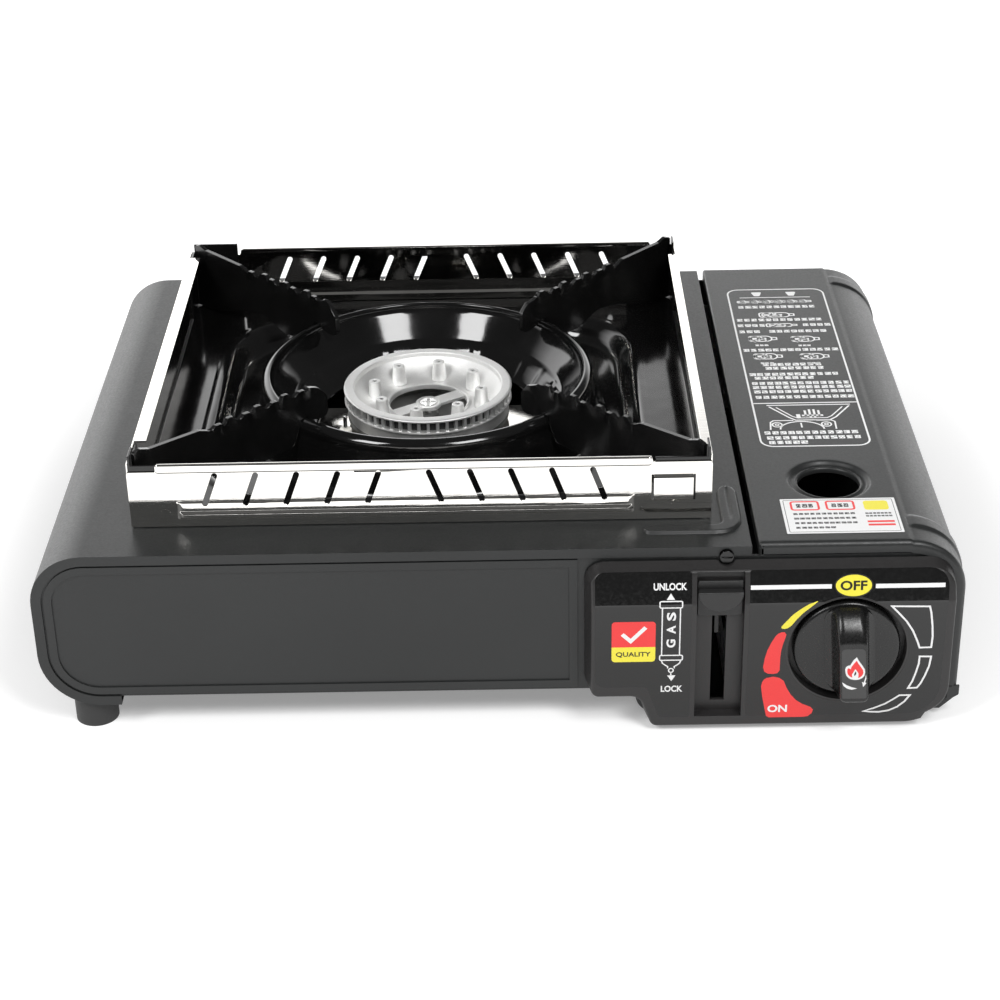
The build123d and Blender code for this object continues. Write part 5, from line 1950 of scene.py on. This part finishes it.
# ------------------------------------------------------------------ studio
@dataclass
class Studio:
    """Floor, lamps, world and camera."""

    eye: tuple[float, float, float] = (6.5, -811.85, 477.8)
    pitch: float = 28.82
    yaw: float = -0.44
    roll: float = -1.17
    lens: float = 80.84
    aim_height: float = 0.06
    paper_end: float = -0.43
    paper_fade: float = 0.015
    paper_size: float = 6.0
    lift: tuple[float, float, float, float] = (0.26, 1.0, 0.17, 0.46)
    beyond_paper: float = 0.03
    backdrop: tuple[float, float, float] = (0.30, -0.5, 1.0)
    mirrored: tuple[float, float, float, float] = (2.8, 0.10, -0.14, 0.13)
    room_light: float = 0.35

    def camera(self) -> None:
        """Aim the camera."""
        pitch, yaw, roll = (math.radians(a) for a in (self.pitch, self.yaw, self.roll))
        ahead = Vector((math.sin(yaw) * math.cos(pitch), math.cos(yaw) * math.cos(pitch),
                        -math.sin(pitch)))
        right = Vector((math.cos(yaw), -math.sin(yaw), 0.0))
        up = right.cross(ahead)
        across = math.cos(roll) * right + math.sin(roll) * up
        upward = math.cos(roll) * up - math.sin(roll) * right
        data = bpy.data.cameras.new("camera")
        data.lens = self.lens
        data.sensor_width = 36.0
        data.clip_start = 0.01
        camera = added("camera", data)
        turn = Matrix((across, upward, -ahead)).transposed().to_4x4()
        camera.matrix_world = Matrix.Translation(Vector(self.eye) * MM) @ turn
        bpy.context.scene.camera = camera

    def lamp(self, name: str, place: Sequence[float], size: Point, radiance: float) -> None:
        """Hang one soft box, aimed at the stove.

        Args:
            name: Its name.
            place: Where it hangs, in metres.
            size: Width and height, in metres.
            radiance: How bright its face is.
        """
        data = bpy.data.lights.new(name, "AREA")
        data.shape = "RECTANGLE"
        data.size, data.size_y = size
        data.energy = radiance * math.pi * size[0] * size[1]
        away = Vector(place) - UP * self.aim_height
        turn = away.to_track_quat("Z", "Y").to_matrix().to_4x4()
        added(name, data).matrix_world = Matrix.Translation(place) @ turn

    def paper(self) -> bpy.types.Material:
        """Paper lit up away from the stove, that ends in front of it where gloss mirrors it.

        Returns:
            The material.
        """
        tree = Tree(bpy.data.materials.new("floor_paint"))
        tree.feed(tree.shader, Base_Color=(0.80, 0.80, 0.80), Roughness=0.9,
                  Specular_IOR_Level=0.0)
        plan = tree.node("ShaderNodeVectorMath", {"operation": "MULTIPLY"},
                         **{"0": tree.place(), "1": (1.0, 1.0, 0.0)})
        away = tree.node("ShaderNodeVectorMath", {"operation": "LENGTH"},
                         **{"0": plan.outputs[0]})
        # Painted light and shade: the paper glows more with distance from the stove and less near
        # it, so the floor is white far off and darker round the stove.
        white = tree.spread(Value(tree, away.outputs["Value"]), *self.lift)
        rays = tree.node("ShaderNodeLightPath")
        seen, glossy, through = (Value(tree, rays.outputs[f"Is {kind} Ray"])
                                 for kind in ("Camera", "Glossy", "Transmission"))
        lift = tree.node("ShaderNodeEmission", Color=(1.0, 1.0, 1.0),
                         Strength=(seen + glossy + through) * white)
        both = tree.node("ShaderNodeAddShader",
                         **{"0": tree.shader.outputs[0], "1": lift.outputs[0]})
        along = tree.node("ShaderNodeSeparateXYZ", Vector=tree.place()).outputs["Y"]
        beyond = tree.spread(Value(tree, along), 1.0, 0.0, self.paper_end - self.paper_fade,
                             self.paper_end + self.paper_fade)
        dark = tree.node("ShaderNodeEmission", Color=(1.0, 1.0, 1.0), Strength=self.beyond_paper)
        mix = tree.node("ShaderNodeMixShader", Fac=beyond * glossy,
                        **{"1": both.outputs[0], "2": dark.outputs[0]})
        tree.feed(tree.nodes["Material Output"], Surface=mix.outputs[0])
        return tree.owner

    def floor(self) -> None:
        """Lay the paper."""
        bm = bmesh.new()
        bmesh.ops.create_grid(bm, x_segments=1, y_segments=1, size=self.paper_size)
        mesh = bpy.data.meshes.new("floor")
        bm.to_mesh(mesh)
        bm.free()
        mesh.materials.append(self.paper())
        floor = added("floor", mesh)

    def world(self) -> None:
        """A white room where it is seen; in reflections, a low white backdrop and a dim room."""
        world = bpy.data.worlds.new("room")
        bpy.context.scene.world = world
        tree = Tree(world)
        world.cycles.sampling_method = "NONE"
        tilt = tree.node("ShaderNodeVectorMath", {"operation": "DOT_PRODUCT"}, **{
            "0": tree.node("ShaderNodeTexCoord").outputs["Generated"], "1": self.backdrop})
        mirrored = tree.spread(Value(tree, tilt.outputs["Value"]), *self.mirrored)
        rays = tree.node("ShaderNodeLightPath").outputs
        dim = tree.spread(Value(tree, rays["Is Diffuse Ray"]), mirrored, self.room_light, 0.0, 1.0)
        strength = tree.spread(Value(tree, rays["Is Camera Ray"]), dim, 1.0, 0.0, 1.0)
        tree.feed(tree.shader, Color=(1.0, 1.0, 1.0), Strength=strength)

    def build(self) -> None:
        """Set up the whole studio."""
        bpy.context.scene.view_settings.view_transform = "Standard"
        self.floor()
        self.world()
        self.lamp("right_box", (0.44, -0.74, 0.93), (0.38, 0.46), 15.0)
        self.lamp("left_box", (-0.66, -0.66, 0.90), (0.34, 0.46), 15.0)
        self.camera()


def main() -> None:
    """Build the stove's pieces in order, then the studio."""
    logging.basicConfig(level=logging.INFO, format="%(message)s")
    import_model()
    parts = [
        Wrap(), ControlPanel(), Knob(), LeverThumb(), Lid(), DripPan(), Burner(),
        LongWall("windshield_front", False), LongWall("windshield_rear", True, slot_foot=85.8),
        *(Trivet(end, hand) for end, hand in CORNERS),
        PlainParts("stove", Look.BODY, ["front_panel", "rear_panel", "bay_tray", "base_plate"]),
        PlainParts("stove", Look.RUBBER, [f"foot_{end}_{hand}" for end, hand in CORNERS], 0.6),
        PlainParts("stove", Look.BASE, ["burner_base"], 0.12),
        PlainParts("stove", Look.CAST, ["regulator_body", "valve_body"], 0.12),
        PlainParts("stove", Look.ZINC, ["bay_divider", "mixing_tube", "air_shutter",
                                        "electrode_clip", "gas_pipe", "canister_collar",
                                        "regulator_cap"], 0.15),
        PlainParts("stove", Look.STEEL, ["foot_screws", "bracket_screws", "hinge_rod",
                                         "spark_electrode"], 0.15),
        PlainParts("stove", Look.DARK_STEEL, ["panel_screws"], 0.15),
        PlainParts("stove", Look.BRASS, ["gas_jet", "inlet_nozzle"], 0.1),
        PlainParts("stove", Look.CERAMIC, ["electrode_insulator"], 0.1),
        PlainParts("stove", Look.SLEEVE, ["igniter_lead"], 0.0),
        PlainParts("stove", Look.LEVER, ["igniter_body"], 0.2),
        PlainParts("knob", Look.BRASS, ["valve_stem"], 0.2),
        PlainParts("knob", Look.LEVER, ["igniter_cam"], 0.2),
        PlainParts("plunger", Look.STEEL, ["igniter_plunger"], 0.1),
        PlainParts("lever", Look.DARK_STEEL, ["lever_plate"], 0.15),
        PlainParts("pusher", Look.ZINC, ["push_rod", "rear_pusher", "follower_pin"], 0.15),
        PlainParts("pusher", Look.RUBBER, ["pusher_pad"], 0.3),
        PlainParts("stove", Look.SHIELD, ["burner_bracket"], 0.15),
        PlainParts("pot_rest", Look.SHIELD, ["windshield_left", "windshield_right"], 0.15),
        Rivets(),
        PlainParts("pot_rest", Look.TRIVET, [f"corner_bracket_{end}_{hand}"
                                             for end, hand in CORNERS], 0.25),
    ]
    for part in parts:
        part.build()
    Studio().build()


if __name__ == "__main__":
    main()
